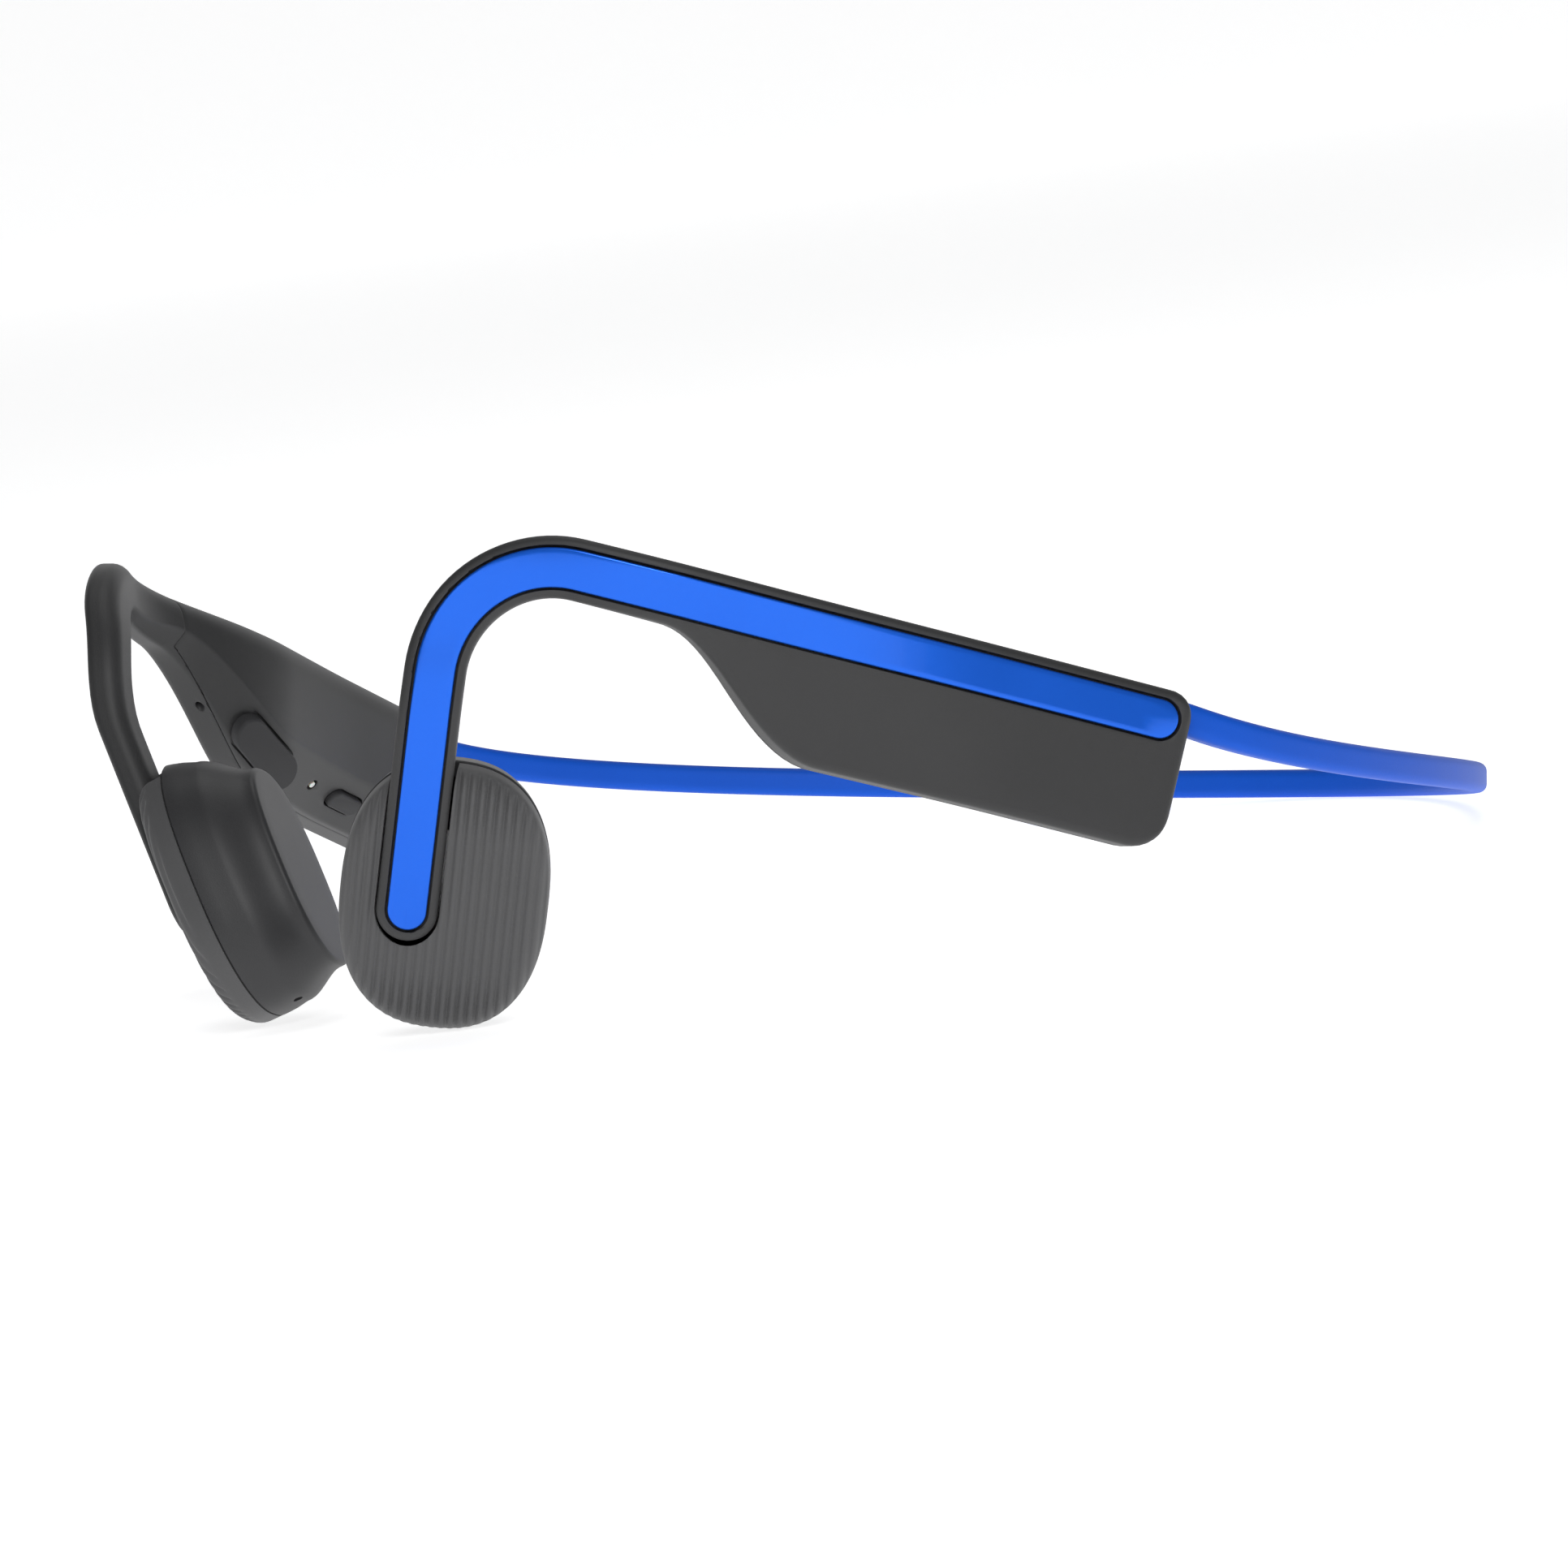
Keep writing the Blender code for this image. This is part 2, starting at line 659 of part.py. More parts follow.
SWITCH_AT = (3.7, -5.0)
POD_MIC_AT = (-1.0, -7.0)
for label, side in SIDES.items():
    cap = combine(
        loft(
            [
                pod_ring(-POD_SKIRT, 0.15),
                pod_ring(-POD_SKIRT + 0.6, 0.0),
                pod_ring(-POD_FACE - 0.8, 0.0),
                pod_ring(-POD_FACE - 0.25, 0.3),
                pod_ring(-POD_FACE, 1.0),
            ]
        ),
        ("DIFFERENCE", loft([pod_ring(-POD_SKIRT - 1.0, 1.2), pod_ring(-POD_FACE - 1.2, 1.2)])),
        ("DIFFERENCE", rib_grooves()),
    )
    if side > 0:
        x, y = SWITCH_AT
        cap = combine(
            cap,
            ("UNION", block((x - 1.2, y - 1.2, -3.3), (x + 1.2, y + 1.2, -POD_FACE - 0.8))),
        )
    cap = combine(pod_piece(cap), ("DIFFERENCE", leg_room(0.35, -14.0, 4.0)))
    centre = on_pod((0.0, 0.0, -POD_FACE))
    if side > 0:
        finish("left_multifunction_button", cap, "pod", side, centre)
    else:
        finish("right_pod_cap", cap, "pod", side)
    depth = POD_BACK - POD_RIM
    shell = combine(
        loft(
            [
                pod_ring(-POD_BACK, POD_TAPER),
                pod_ring(-POD_BACK + 0.35, POD_TAPER - 0.6),
                pod_ring(-POD_BACK + 1.3, POD_TAPER - 1.1),
                pod_ring(-POD_RIM - 0.35 * depth, 0.55),
                pod_ring(-POD_RIM, 0.0),
            ]
        ),
        (
            "DIFFERENCE",
            loft(
                [
                    pod_ring(-POD_BACK + 1.2, POD_TAPER),
                    pod_ring(-POD_RIM - 0.35 * depth, 1.9),
                    pod_ring(-POD_RIM + 1.0, 1.3),
                ]
            ),
        ),
    )
    if side < 0:
        x, z = POD_MIC_AT
        hole = turned((0.0, 0.0), (MIC_HOLE / 2,) * 2, (0.0, 5.0), 10)
        hole = moved(hole, lambda point: (x + point[0], -POD_HEIGHT / 2 - 2.0 + point[2], z - point[1]))
        bmesh.ops.recalc_face_normals(hole, faces=hole.faces)
        shell = combine(shell, ("DIFFERENCE", hole))
    finish(label + "_pod_shell", pod_piece(shell), "pod", side)

    middle = (0.0, 0.0)
    yoke = turned(
        middle,
        (MOTOR_RADIUS, MOTOR_RADIUS, MOTOR_RADIUS - 0.7, MOTOR_RADIUS - 0.7),
        (-5.2, -8.4, -8.4, -6.0),
    )
    finish(label + "_transducer_yoke", pod_piece(yoke), "steel", side)
    magnet = turned(middle, (MOTOR_RADIUS - 2.0,) * 2, (-8.3, -6.3))
    finish(label + "_transducer_magnet", pod_piece(magnet), "magnet", side)
    coil = round_ring(middle, MOTOR_RADIUS - 1.6, MOTOR_RADIUS - 1.05, -9.0, -6.8)
    finish(label + "_voice_coil", pod_piece(coil), "copper", side)
    spring = round_ring(middle, 2.0, MOTOR_RADIUS - 0.1, -9.7, -9.4)
    finish(label + "_spring_plate", pod_piece(spring), "steel", side)

x, y = SWITCH_AT
switch = combine(
    block((x - 2.2, y - 2.2, -4.8), (x + 2.2, y + 2.2, -4.2)),
    ("UNION", turned((x, y), (1.3, 1.3, 0.9), (-4.5, -3.9, -3.65), 12)),
)
finish("left_dome_switch", pod_piece(switch), "board")
x, z = POD_MIC_AT
mic = block((x - 1.0, -POD_HEIGHT / 2 + 2.1, z - 1.0), (x + 1.0, -POD_HEIGHT / 2 + 2.9, z + 1.0))
finish("right_pod_microphone", pod_piece(mic), "steel", -1.0)


# ---------------------------------------------------------------- inside the housings
def housing_block(name, low, high, material, side):
    """A box inside the housing, as run, height and depth below the outer face."""
    bm = block((REAR + low[0], low[1], low[2]), (REAR + high[0], high[1], high[2]))
    finish(name, moved(bm, on_hook), material, side, rounded=False)


housing_block("left_battery", (27.5, -7.6, -6.2), (HOUSING_RUN - 8.5, 0.9, -2.3), "battery", 1.0)
housing_block("left_charge_board", (HOUSING_RUN - 7.8, -6.4, -4.0),
              (HOUSING_RUN - 2.3, -1.9, -3.2), "board", 1.0)
housing_block("right_main_board", (27.5, -3.0, -4.6), (HOUSING_RUN - 4.6, 0.9, -3.8),
              "board", -1.0)
housing_block("right_shield_can", (31.0, -2.7, -3.5), (43.0, 0.6, -2.3), "steel", -1.0)


port_place = on_bevel(PORT_AT, PORT_LOWER)
port = combine(
    oval(port_place, PORT_AT, PORT_LENGTH, PORT_HEIGHT, COVER_THICK + 0.9, 4.0),
    ("DIFFERENCE", oval(port_place, PORT_AT, PORT_LENGTH - 0.7, PORT_HEIGHT - 0.7, 0.0, 3.6)),
    ("UNION", flank_block(port_place, PORT_AT, (-3.3, -0.35, 2.2), (3.3, 0.35, 3.8))),
)
finish("right_charging_port", moved(port, on_hook), "steel", -1.0)
cover = combine(
    oval(port_place, PORT_AT, COVER_LENGTH, COVER_HEIGHT, -0.35, COVER_THICK),
    ("UNION", oval(port_place, PORT_AT, PORT_LENGTH - 1.5, PORT_HEIGHT - 1.5, 0.3, 1.9)),
)
cover_hinge = on_hook(port_place((PORT_AT - COVER_LENGTH / 2, 0.0, 0.0)))
finish("right_port_cover", moved(cover, on_hook), "rubber", -1.0, cover_hinge)
for key_name, at in (("right_volume_up", VOLUME_UP_AT), ("right_volume_down", VOLUME_DOWN_AT)):
    place = on_bevel(at)
    key = combine(
        oval(place, at, KEY_LENGTH, KEY_HEIGHT, -0.5, 1.9),
        ("UNION", oval(place, at, KEY_LENGTH + 1.0, KEY_HEIGHT + 0.9, 1.75, 2.3)),
    )
    finish(key_name, moved(key, on_hook), "rubber", -1.0, on_hook(place((at, 0.0, 0.0))))
    contact = flank_block(place, at, (-1.5, -0.8, 2.75), (1.5, 0.8, 3.6))
    finish(key_name + "_switch", moved(contact, on_hook), "steel", -1.0)
light = oval(on_bevel(LIGHT_AT), LIGHT_AT, 0.7, 0.6999, 0.0, 2.9)
finish("right_light_pipe", moved(light, on_hook), "diffuser", -1.0)
mic = flank_block(on_underside(MIC_AT), MIC_AT, (-1.0, -0.3, 1.75), (1.0, 1.0, 2.5))
finish("right_microphone", moved(mic, on_hook), "steel", -1.0)


# ---------------------------------------------------------------- neckband
def band_path():
    """Centre points of the whole band from the left housing round to the right one."""
    start = on_hook((REAR + HOUSING_RUN, BAND_RISE_ABOVE_STRIP, -BAND_DEPTH_IN_HOUSING))
    heading = math.radians(HEADING_REAR)
    lead = start[:2] + BAND_LEAD * np.array([math.sin(heading), math.cos(heading)])
    corners = [start[:2], lead, np.array([BAND_BACK, BAND_REACH]), np.array([0.0, BAND_REACH])]
    inside = [
        on_hook((REAR + HOUSING_RUN - back, BAND_RISE_ABOVE_STRIP, -BAND_DEPTH_IN_HOUSING))
        for back in (3.0, 0.6)
    ]
    half = []
    for t in np.linspace(0.0, 1.0, 22)[1:]:
        a, b, c, d = ((1 - t) ** 3, 3 * t * (1 - t) ** 2, 3 * t * t * (1 - t), t ** 3)
        plan = a * corners[0] + b * corners[1] + c * corners[2] + d * corners[3]
        height = BAND_LOW + (start[2] - BAND_LOW) * (1 - t) ** 4.3
        half.append(np.array([plan[0], plan[1], height]))
    left = inside + half
    return left + [p * (-1.0, 1.0, 1.0) for p in left[-2::-1]]


BAND = band_path()


def band_ring(k, outline, lift=0.0):
    """A section of the band at its k-th point; outline is in (outward, up) pairs."""
    ahead = BAND[min(k + 1, len(BAND) - 1)] - BAND[max(k - 1, 0)]
    ahead = ahead / np.linalg.norm(ahead)
    out = np.array([ahead[1], -ahead[0], 0.0])
    out = out / np.linalg.norm(out)
    up = np.cross(out, ahead)
    return [BAND[k] + x * out + (z + lift) * up for x, z in outline]


def band_thickness(k):
    """Half the band's thickness: fuller where it leaves the housings."""
    from_end = min(k, len(BAND) - 1 - k)
    return (BAND_THICK + (BAND_THICK_END - BAND_THICK) * (1 - float(smooth(from_end / 6)))) / 2


def band_outline(half_x, half_z, corner):
    ring = []
    for sx, sz in ((1, 1), (-1, 1), (-1, -1), (1, -1)):
        pair = [(sx * half_x, sz * (half_z - corner)), (sx * (half_x - corner), sz * half_z)]
        ring += pair if sx * sz > 0 else pair[::-1]
    return ring


count = len(BAND)
sleeve = tube(
    [band_ring(k, band_outline(band_thickness(k), BAND_HEIGHT / 2, 0.45)) for k in range(count)],
    [band_ring(k, band_outline(0.65, BAND_HEIGHT / 2 - 0.3, 0.25)) for k in range(count)],
)
finish("neckband_sleeve", sleeve, "satin_blue")
square = [(0.3, 0.3), (-0.3, 0.3), (-0.3, -0.3), (0.3, -0.3)]
core = loft([band_ring(k, square, 0.5) for k in range(count)])
finish("neckband_wire", core, "titanium")
thin = [(x * 0.8, z * 0.8) for x, z in square]
cable = loft([band_ring(k, thin, -0.55) for k in range(count)])
finish("neckband_cable", cable, "cable")


# ---------------------------------------------------------------- resting position
def points_of(objects):
    return np.array([tuple(v.co + o.location) for o in objects for v in o.data.vertices])


everything = points_of(PARTS)
front = everything[everything[:, 1] < 0.0]
back = everything[everything[:, 1] > 0.0]


def tilt_error(angle):
    """How much lower the front's lowest point is than the back's, after tilting."""
    s, c = math.sin(angle), math.cos(angle)
    return (front[:, 1] * s + front[:, 2] * c).min() - (back[:, 1] * s + back[:, 2] * c).min()


low_angle, high_angle = math.radians(-40), math.radians(20)
for _ in range(50):
    mid_angle = (low_angle + high_angle) / 2
    if tilt_error(mid_angle) < 0:
        high_angle = mid_angle
    else:
        low_angle = mid_angle
turn = Matrix.Rotation(mid_angle, 4, "X")
rested = everything @ np.array(turn.to_3x3()).T
low_corner, high_corner = rested.min(axis=0), rested.max(axis=0)
shift = Vector(
    (
        -(low_corner[0] + high_corner[0]) / 2,
        -(low_corner[1] + high_corner[1]) / 2,
        -low_corner[2],
    )
)
rest_frame.matrix_world = Matrix.Translation(shift) @ turn
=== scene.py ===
import math

import bmesh
import bpy
import numpy as np
from mathutils import Matrix, Vector


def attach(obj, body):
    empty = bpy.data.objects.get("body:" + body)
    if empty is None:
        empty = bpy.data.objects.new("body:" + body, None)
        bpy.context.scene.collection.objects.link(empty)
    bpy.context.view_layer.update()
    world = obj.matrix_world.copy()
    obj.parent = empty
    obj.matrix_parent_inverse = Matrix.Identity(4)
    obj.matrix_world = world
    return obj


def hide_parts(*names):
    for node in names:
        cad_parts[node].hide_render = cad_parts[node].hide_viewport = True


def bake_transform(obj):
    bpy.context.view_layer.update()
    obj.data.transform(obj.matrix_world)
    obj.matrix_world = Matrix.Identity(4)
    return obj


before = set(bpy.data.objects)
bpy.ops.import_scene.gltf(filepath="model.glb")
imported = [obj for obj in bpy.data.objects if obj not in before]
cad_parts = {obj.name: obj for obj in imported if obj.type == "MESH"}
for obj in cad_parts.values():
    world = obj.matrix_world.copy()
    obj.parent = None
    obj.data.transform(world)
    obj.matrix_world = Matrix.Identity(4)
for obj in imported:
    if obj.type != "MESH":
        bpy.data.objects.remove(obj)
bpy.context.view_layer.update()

# ------------------------------------------------------------------ outer shells
# Each side's ear hook and outer housing half is one moulding in glass-filled nylon with a
# soft-touch paint. It is drawn straight along the trim strip's middle line, in millimetres,
# as (along, across, outward), then bent to the wearing shape and laid on the table.
SIDES = {"left": 1.0, "right": -1.0}
REST_TILT = -0.17440558577200650
REST_SHIFT = np.array([0.0, -7.730436976999, 5.674181040376])
LEG_X, LEG_Y = 28.96, -66.74
HEADING_FRONT, HEADING_REAR = 39.98, 23.9
TURN_START, TURN_END = 10.0, 34.0
LEAN, LEAN_TOP = 24.9, 26.0
LEAN_START, LEAN_END = 12.0, 56.0
HOOK_TUCK = 2.4
TUCK_START, TUCK_END = 4.0, 28.0
TUCK_LOW, TUCK_HIGH = 13.0, 24.0
LEG_ANGLE, REAR_SLOPE = math.radians(81.3), math.radians(-13.6)
LEG_LENGTH, HOOK_RADIUS = 21.44, 10.5
LEG_FOOT = (0.30, -3.61)
REAR = LEG_LENGTH + HOOK_RADIUS * (LEG_ANGLE - REAR_SLOPE)
HOUSING_RUN = 57.3
EDGE_ABOVE, EDGE_BELOW = 2.8, 2.65
HOUSING_DROP, DROP_START, DROP_END = 11.65, 8.6, 25.6
HOOK_THICK, HOUSING_THICK, THICKEN_END = 3.2, 8.8, 26.0
HOOK_BEVEL, BEVEL_DROP, BEVEL_DEPTH = 1.2, 4.0, 4.4
OUTER_ROUND, INNER_ROUND, HOUSING_ROUND = 0.8, 1.5, 3.4
END_ROUND_TOP, END_ROUND_LOW = 2.3, 3.4
SEAM_DEPTH, SEAM_GAP, COVER_START = 3.4, 0.05, 10.0
WALL, CAVITY_TOP, CAVITY_START = 1.4, 1.9, 12.5
STRIP_WIDTH, STRIP_END, CHANNEL_DEPTH, CHANNEL_GAP = 3.5, 54.3, 1.0, 0.22


def smooth(x):
    x = np.clip(x, 0.0, 1.0)
    return x * x * (3.0 - 2.0 * x)


GUIDE_U = np.linspace(-40.0, 160.0, 2001)
GUIDE_HEADING = np.radians(
    HEADING_FRONT
    + (HEADING_REAR - HEADING_FRONT) * smooth((GUIDE_U - TURN_START) / (TURN_END - TURN_START))
)


def running_sum(values):
    step = GUIDE_U[1] - GUIDE_U[0]
    total = np.concatenate([[0.0], np.cumsum((values[1:] + values[:-1]) / 2 * step)])
    return total - np.interp(0.0, GUIDE_U, total)


GUIDE_X = LEG_X + running_sum(np.sin(GUIDE_HEADING))
GUIDE_Y = LEG_Y + running_sum(np.cos(GUIDE_HEADING))


def worn(u, v, n):
    """Wearing position, left side, of points u along, v up and n outward."""
    heading = np.interp(u, GUIDE_U, GUIDE_HEADING)
    lean = 1.0 - smooth((u - LEAN_START) / (LEAN_END - LEAN_START))
    tuck = 1.0 - smooth((u - TUCK_START) / (TUCK_END - TUCK_START))
    tuck = tuck * smooth((v - TUCK_LOW) / (TUCK_HIGH - TUCK_LOW))
    below = LEAN_TOP - v
    below = (below + np.sqrt(below * below + 9.0)) / 2
    out = n - math.tan(math.radians(LEAN)) * lean * below - HOOK_TUCK * tuck
    x = np.interp(u, GUIDE_U, GUIDE_X) + np.cos(heading) * out
    y = np.interp(u, GUIDE_U, GUIDE_Y) - np.sin(heading) * out
    return np.stack([x, y, v + 0 * x], axis=-1)


def on_hook(points):
    """Wearing position of points given as (along the strip, across it, outward)."""
    s, across, out = np.moveaxis(np.asarray(points, float), -1, 0)
    angle = LEG_ANGLE - np.clip(s - LEG_LENGTH, 0.0, REAR - LEG_LENGTH) / HOOK_RADIUS
    leg, run = np.minimum(s, LEG_LENGTH), np.maximum(s - REAR, 0.0)
    u = LEG_FOOT[0] + leg * math.cos(LEG_ANGLE) + run * math.cos(REAR_SLOPE)
    v = LEG_FOOT[1] + leg * math.sin(LEG_ANGLE) + run * math.sin(REAR_SLOPE)
    u = u + HOOK_RADIUS * (math.sin(LEG_ANGLE) - np.sin(angle))
    v = v + HOOK_RADIUS * (np.cos(angle) - math.cos(LEG_ANGLE))
    return worn(u - np.sin(angle) * across, v + np.cos(angle) * across, out)


def on_table(points, side=1.0):
    """Metres in the frame, from wearing position in millimetres."""
    turn = np.array(Matrix.Rotation(REST_TILT, 3, "X"))
    return ((np.asarray(points) * (side, 1.0, 1.0)) @ turn.T + REST_SHIFT) * 0.001


def points_of(piece):
    flat = np.empty(len(piece.data.vertices) * 3)
    piece.data.vertices.foreach_get("co", flat)
    return flat.reshape(-1, 3)


def set_points(piece, points):
    piece.data.vertices.foreach_set("co", np.asarray(points, float).ravel())
    piece.data.update()


def pick(piece):
    """Makes one object the only one selected, and active."""
    bpy.ops.object.select_all(action="DESELECT")
    piece.select_set(True)
    bpy.context.view_layer.objects.active = piece


def rolled(name, rings):
    """A sheet with one row for each ring of points, rolled shut, its open ends filled."""
    rings = np.asarray(rings, float)
    rows, around = rings.shape[:2]
    bpy.ops.object.select_all(action="DESELECT")
    bpy.ops.mesh.primitive_grid_add(x_subdivisions=around, y_subdivisions=rows - 1, size=1.0)
    piece = bpy.context.object
    piece.name = name
    set_points(piece, np.concatenate([rings, rings[:, :1]], axis=1))
    bpy.ops.object.mode_set(mode="EDIT")
    bpy.ops.mesh.select_all(action="SELECT")
    bpy.ops.mesh.remove_doubles(threshold=0.0005)
    bpy.ops.mesh.fill_holes(sides=0)
    bpy.ops.mesh.select_all(action="SELECT")
    bpy.ops.mesh.normals_make_consistent(inside=False)
    bpy.ops.object.mode_set(mode="OBJECT")
    return piece


def sliced(piece, first, last, across=()):
    """Cuts a piece's faces across at each station, and along at some widths, so it can bend."""
    pick(piece)
    bpy.ops.object.mode_set(mode="EDIT")
    planes = [((s, 0, 0), (1, 0, 0)) for s in stations(first, last)]
    for place, facing in planes + [((0, w, 0), (0, 1, 0)) for w in across]:
        bpy.ops.mesh.select_all(action="SELECT")
        bpy.ops.mesh.bisect(plane_co=place, plane_no=facing)
    bpy.ops.object.mode_set(mode="OBJECT")
    return piece


def slab(name, low, high):
    """A block between two corners, used to cut with."""
    low, high = np.array(low, float), np.array(high, float)
    bpy.ops.object.select_all(action="DESELECT")
    bpy.ops.mesh.primitive_cube_add(size=1.0, location=(low + high) / 2)
    piece = bpy.context.object
    piece.name = name
    piece.scale = high - low
    bpy.ops.object.transform_apply(location=True, rotation=False, scale=True)
    return piece


def copied(piece, name):
    made = piece.copy()
    made.data = piece.data.copy()
    made.name = name
    bpy.context.scene.collection.objects.link(made)
    return made


def thrown_away(piece):
    mesh = piece.data
    bpy.data.objects.remove(piece, do_unlink=True)
    bpy.data.meshes.remove(mesh)


def finished(piece, kind, **settings):
    """Adds a modifier with these settings and applies it."""
    pick(piece)
    modifier = piece.modifiers.new(kind.lower(), kind)
    for key, value in settings.items():
        setattr(modifier, key, value)
    bpy.ops.object.modifier_apply(modifier=modifier.name)


def cut(piece, tool, operation="DIFFERENCE"):
    """Takes the tool from the piece, or joins or intersects them, and uses the tool up."""
    finished(piece, "BOOLEAN", operation=operation, object=tool, solver="EXACT")
    thrown_away(tool)
    return piece


def eased(piece, width):
    """Breaks the sharp edges that a cut leaves."""
    finished(piece, "BEVEL", width=width, segments=2, limit_method="ANGLE",
             angle_limit=math.radians(40), use_clamp_overlap=False, miter_outer="MITER_ARC")


def settled(piece, side=1.0):
    """Brings a piece from wearing position to the table, mirrored for the right side."""
    set_points(piece, on_table(points_of(piece), side))
    pick(piece)
    if side < 0:
        bpy.ops.object.mode_set(mode="EDIT")
        bpy.ops.mesh.select_all(action="SELECT")
        bpy.ops.mesh.flip_normals()
        bpy.ops.object.mode_set(mode="OBJECT")
    bpy.ops.object.shade_smooth_by_angle(angle=math.radians(34))


def bar_size(s):
    """Distance below the strip, thickness and inner bevel at a station."""
    run = s - REAR
    drop = EDGE_BELOW + (HOUSING_DROP - EDGE_BELOW) * float(
        smooth((run - DROP_START) / (DROP_END - DROP_START))
    )
    grow = float(smooth(run / THICKEN_END))
    thick = HOOK_THICK + (HOUSING_THICK - HOOK_THICK) * grow
    bevel = (HOOK_BEVEL + (BEVEL_DROP - HOOK_BEVEL) * grow,
             HOOK_BEVEL + (BEVEL_DEPTH - HOOK_BEVEL) * grow)
    return drop, thick, bevel, grow


def rounded_outline(corners, arc_steps=6, flat_steps=6):
    """A closed outline through (x, y, radius) corners, with arcs at the corners."""
    outline = []
    count = len(corners)
    for k in range(count):
        here, before, after = (np.array(corners[j % count][:2]) for j in (k, k - 1, k + 1))
        radius = corners[k][2]
        ahead = (here - before) / np.linalg.norm(here - before)
        beyond = (after - here) / np.linalg.norm(after - here)
        turn = ahead[0] * beyond[1] - ahead[1] * beyond[0]
        angle = math.atan2(turn, float(ahead @ beyond))
        inward = np.array([-ahead[1], ahead[0]]) * math.copysign(1.0, angle)
        start = here - ahead * radius * math.tan(abs(angle) / 2)
        if outline:
            last = outline[-1]
            outline += [last + (start - last) * i / flat_steps for i in range(1, flat_steps)]
        for i in range(arc_steps + 1):
            a = abs(angle) * i / arc_steps
            outline.append(
                start + radius * (math.sin(a) * ahead + (1 - math.cos(a)) * inward)
            )
    last, first = outline[-1], outline[0]
    outline += [last + (first - last) * i / flat_steps for i in range(1, flat_steps)]
    return outline


def bar_ring(s, shrink_top=0.0, shrink_low=0.0, inset=0.0):
    drop, thick, (bevel_w, bevel_n), grow = bar_size(s)
    top, low = EDGE_ABOVE - shrink_top, -drop + shrink_low
    out, back = -inset, -thick + inset
    inner = INNER_ROUND + (HOUSING_ROUND - INNER_ROUND) * grow
    squeeze = min(1.0, (top - low) / 3.2)
    corners = [
        (top, out, OUTER_ROUND * squeeze),
        (top, back, inner * squeeze),
        (low + bevel_w * squeeze, back, 0.9 * squeeze),
        (low, back + bevel_n * squeeze, 0.9 * squeeze),
        (low, out, OUTER_ROUND * squeeze),
    ]
    return [(s, w, n) for w, n in rounded_outline(corners)]


def stations(first, last):
    """Places along the bar, close together where it bends or grows."""
    leg = np.arange(0.0, LEG_LENGTH, 1.1)
    arc = np.linspace(LEG_LENGTH, REAR, 26)
    run = REAR + np.concatenate([np.arange(0.8, 30.0, 0.9), np.arange(30.2, HOUSING_RUN, 1.4)])
    every = np.concatenate([leg, arc, run])
    return [float(s) for s in every if first + 0.35 < s < last - 0.35]


def whole_bar():
    """Hook and housing in one piece, with a round foot and a rounded rear end."""
    rings = []
    half = (EDGE_ABOVE + EDGE_BELOW) / 2
    for a in np.radians(np.linspace(84, 6, 14)):
        narrow = half * (1 - math.cos(a))
        reach = half * (1 - math.sin(a))
        edge = max(0.0, OUTER_ROUND - reach)
        inset = OUTER_ROUND - math.sqrt(OUTER_ROUND ** 2 - edge ** 2)
        rings.append(bar_ring(-half * math.sin(a), narrow, narrow, inset))
    end = REAR + HOUSING_RUN
    rings += [bar_ring(s) for s in [0.0] + stations(0.0, end - END_ROUND_LOW)]
    for a in np.radians([0, 12, 24, 36, 48, 58, 66, 73, 79, 84, 88]):
        s = end - END_ROUND_LOW * (1 - math.sin(a))
        low = END_ROUND_LOW * (1 - math.cos(a))
        reach = max(0.0, END_ROUND_TOP - (end - s))
        top = END_ROUND_TOP - math.sqrt(max(0.0, END_ROUND_TOP ** 2 - reach ** 2))
        edge = max(0.0, OUTER_ROUND - (end - s))
        inset = OUTER_ROUND - math.sqrt(OUTER_ROUND ** 2 - edge ** 2)
        rings.append(bar_ring(s, top, low, inset))
    return rolled("bar", rings)


def hollow():
    """The space inside the housing halves."""
    rings = []
    ends = [REAR + CAVITY_START, REAR + HOUSING_RUN - WALL]
    for s in [ends[0]] + stations(*ends) + [ends[1]]:
        drop, thick, (bevel_w, bevel_n), grow = bar_size(s)
        slope = math.hypot(bevel_w, bevel_n)
        top, low, back = EDGE_ABOVE - WALL, -drop + WALL, -thick + WALL
        rings.append([
            (s, top, -CAVITY_TOP), (s, top, back + 0.8), (s, top - 0.8, back),
            (s, -drop + bevel_w + WALL * (slope - bevel_w) / bevel_n, back),
            (s, low, -thick + bevel_n + WALL * (slope - bevel_n) / bevel_w),
            (s, low, -CAVITY_TOP),
        ])
    return rolled("hollow", rings)


def slot_block(name, first, last, half, low, high, rim=0.0):
    """A block with round ends along the strip, its upper rim rounded by rim."""
    piece = slab(name, (first - half, -half, low), (last + half, half, high))
    bpy.ops.object.mode_set(mode="EDIT")
    bpy.ops.mesh.select_mode(type="EDGE")
    for width, steps in ((half * 0.9995, 14), (rim, 4)):
        if not width:
            continue
        bpy.ops.mesh.select_all(action="DESELECT")
        mesh = bmesh.from_edit_mesh(piece.data)
        for edge in mesh.edges:
            a, b = (vert.co for vert in edge.verts)
            if width == rim:
                edge.select = min(a.z, b.z) > high - 1e-5 and any(
                    abs(face.normal.z) < 0.5 for face in edge.link_faces)
            else:
                edge.select = abs(a.x - b.x) < 1e-5 and abs(a.y - b.y) < 1e-5
        bmesh.update_edit_mesh(piece.data)
        bpy.ops.mesh.bevel(offset=width, segments=steps, affect="EDGES")
    bpy.ops.object.mode_set(mode="OBJECT")
    return piece


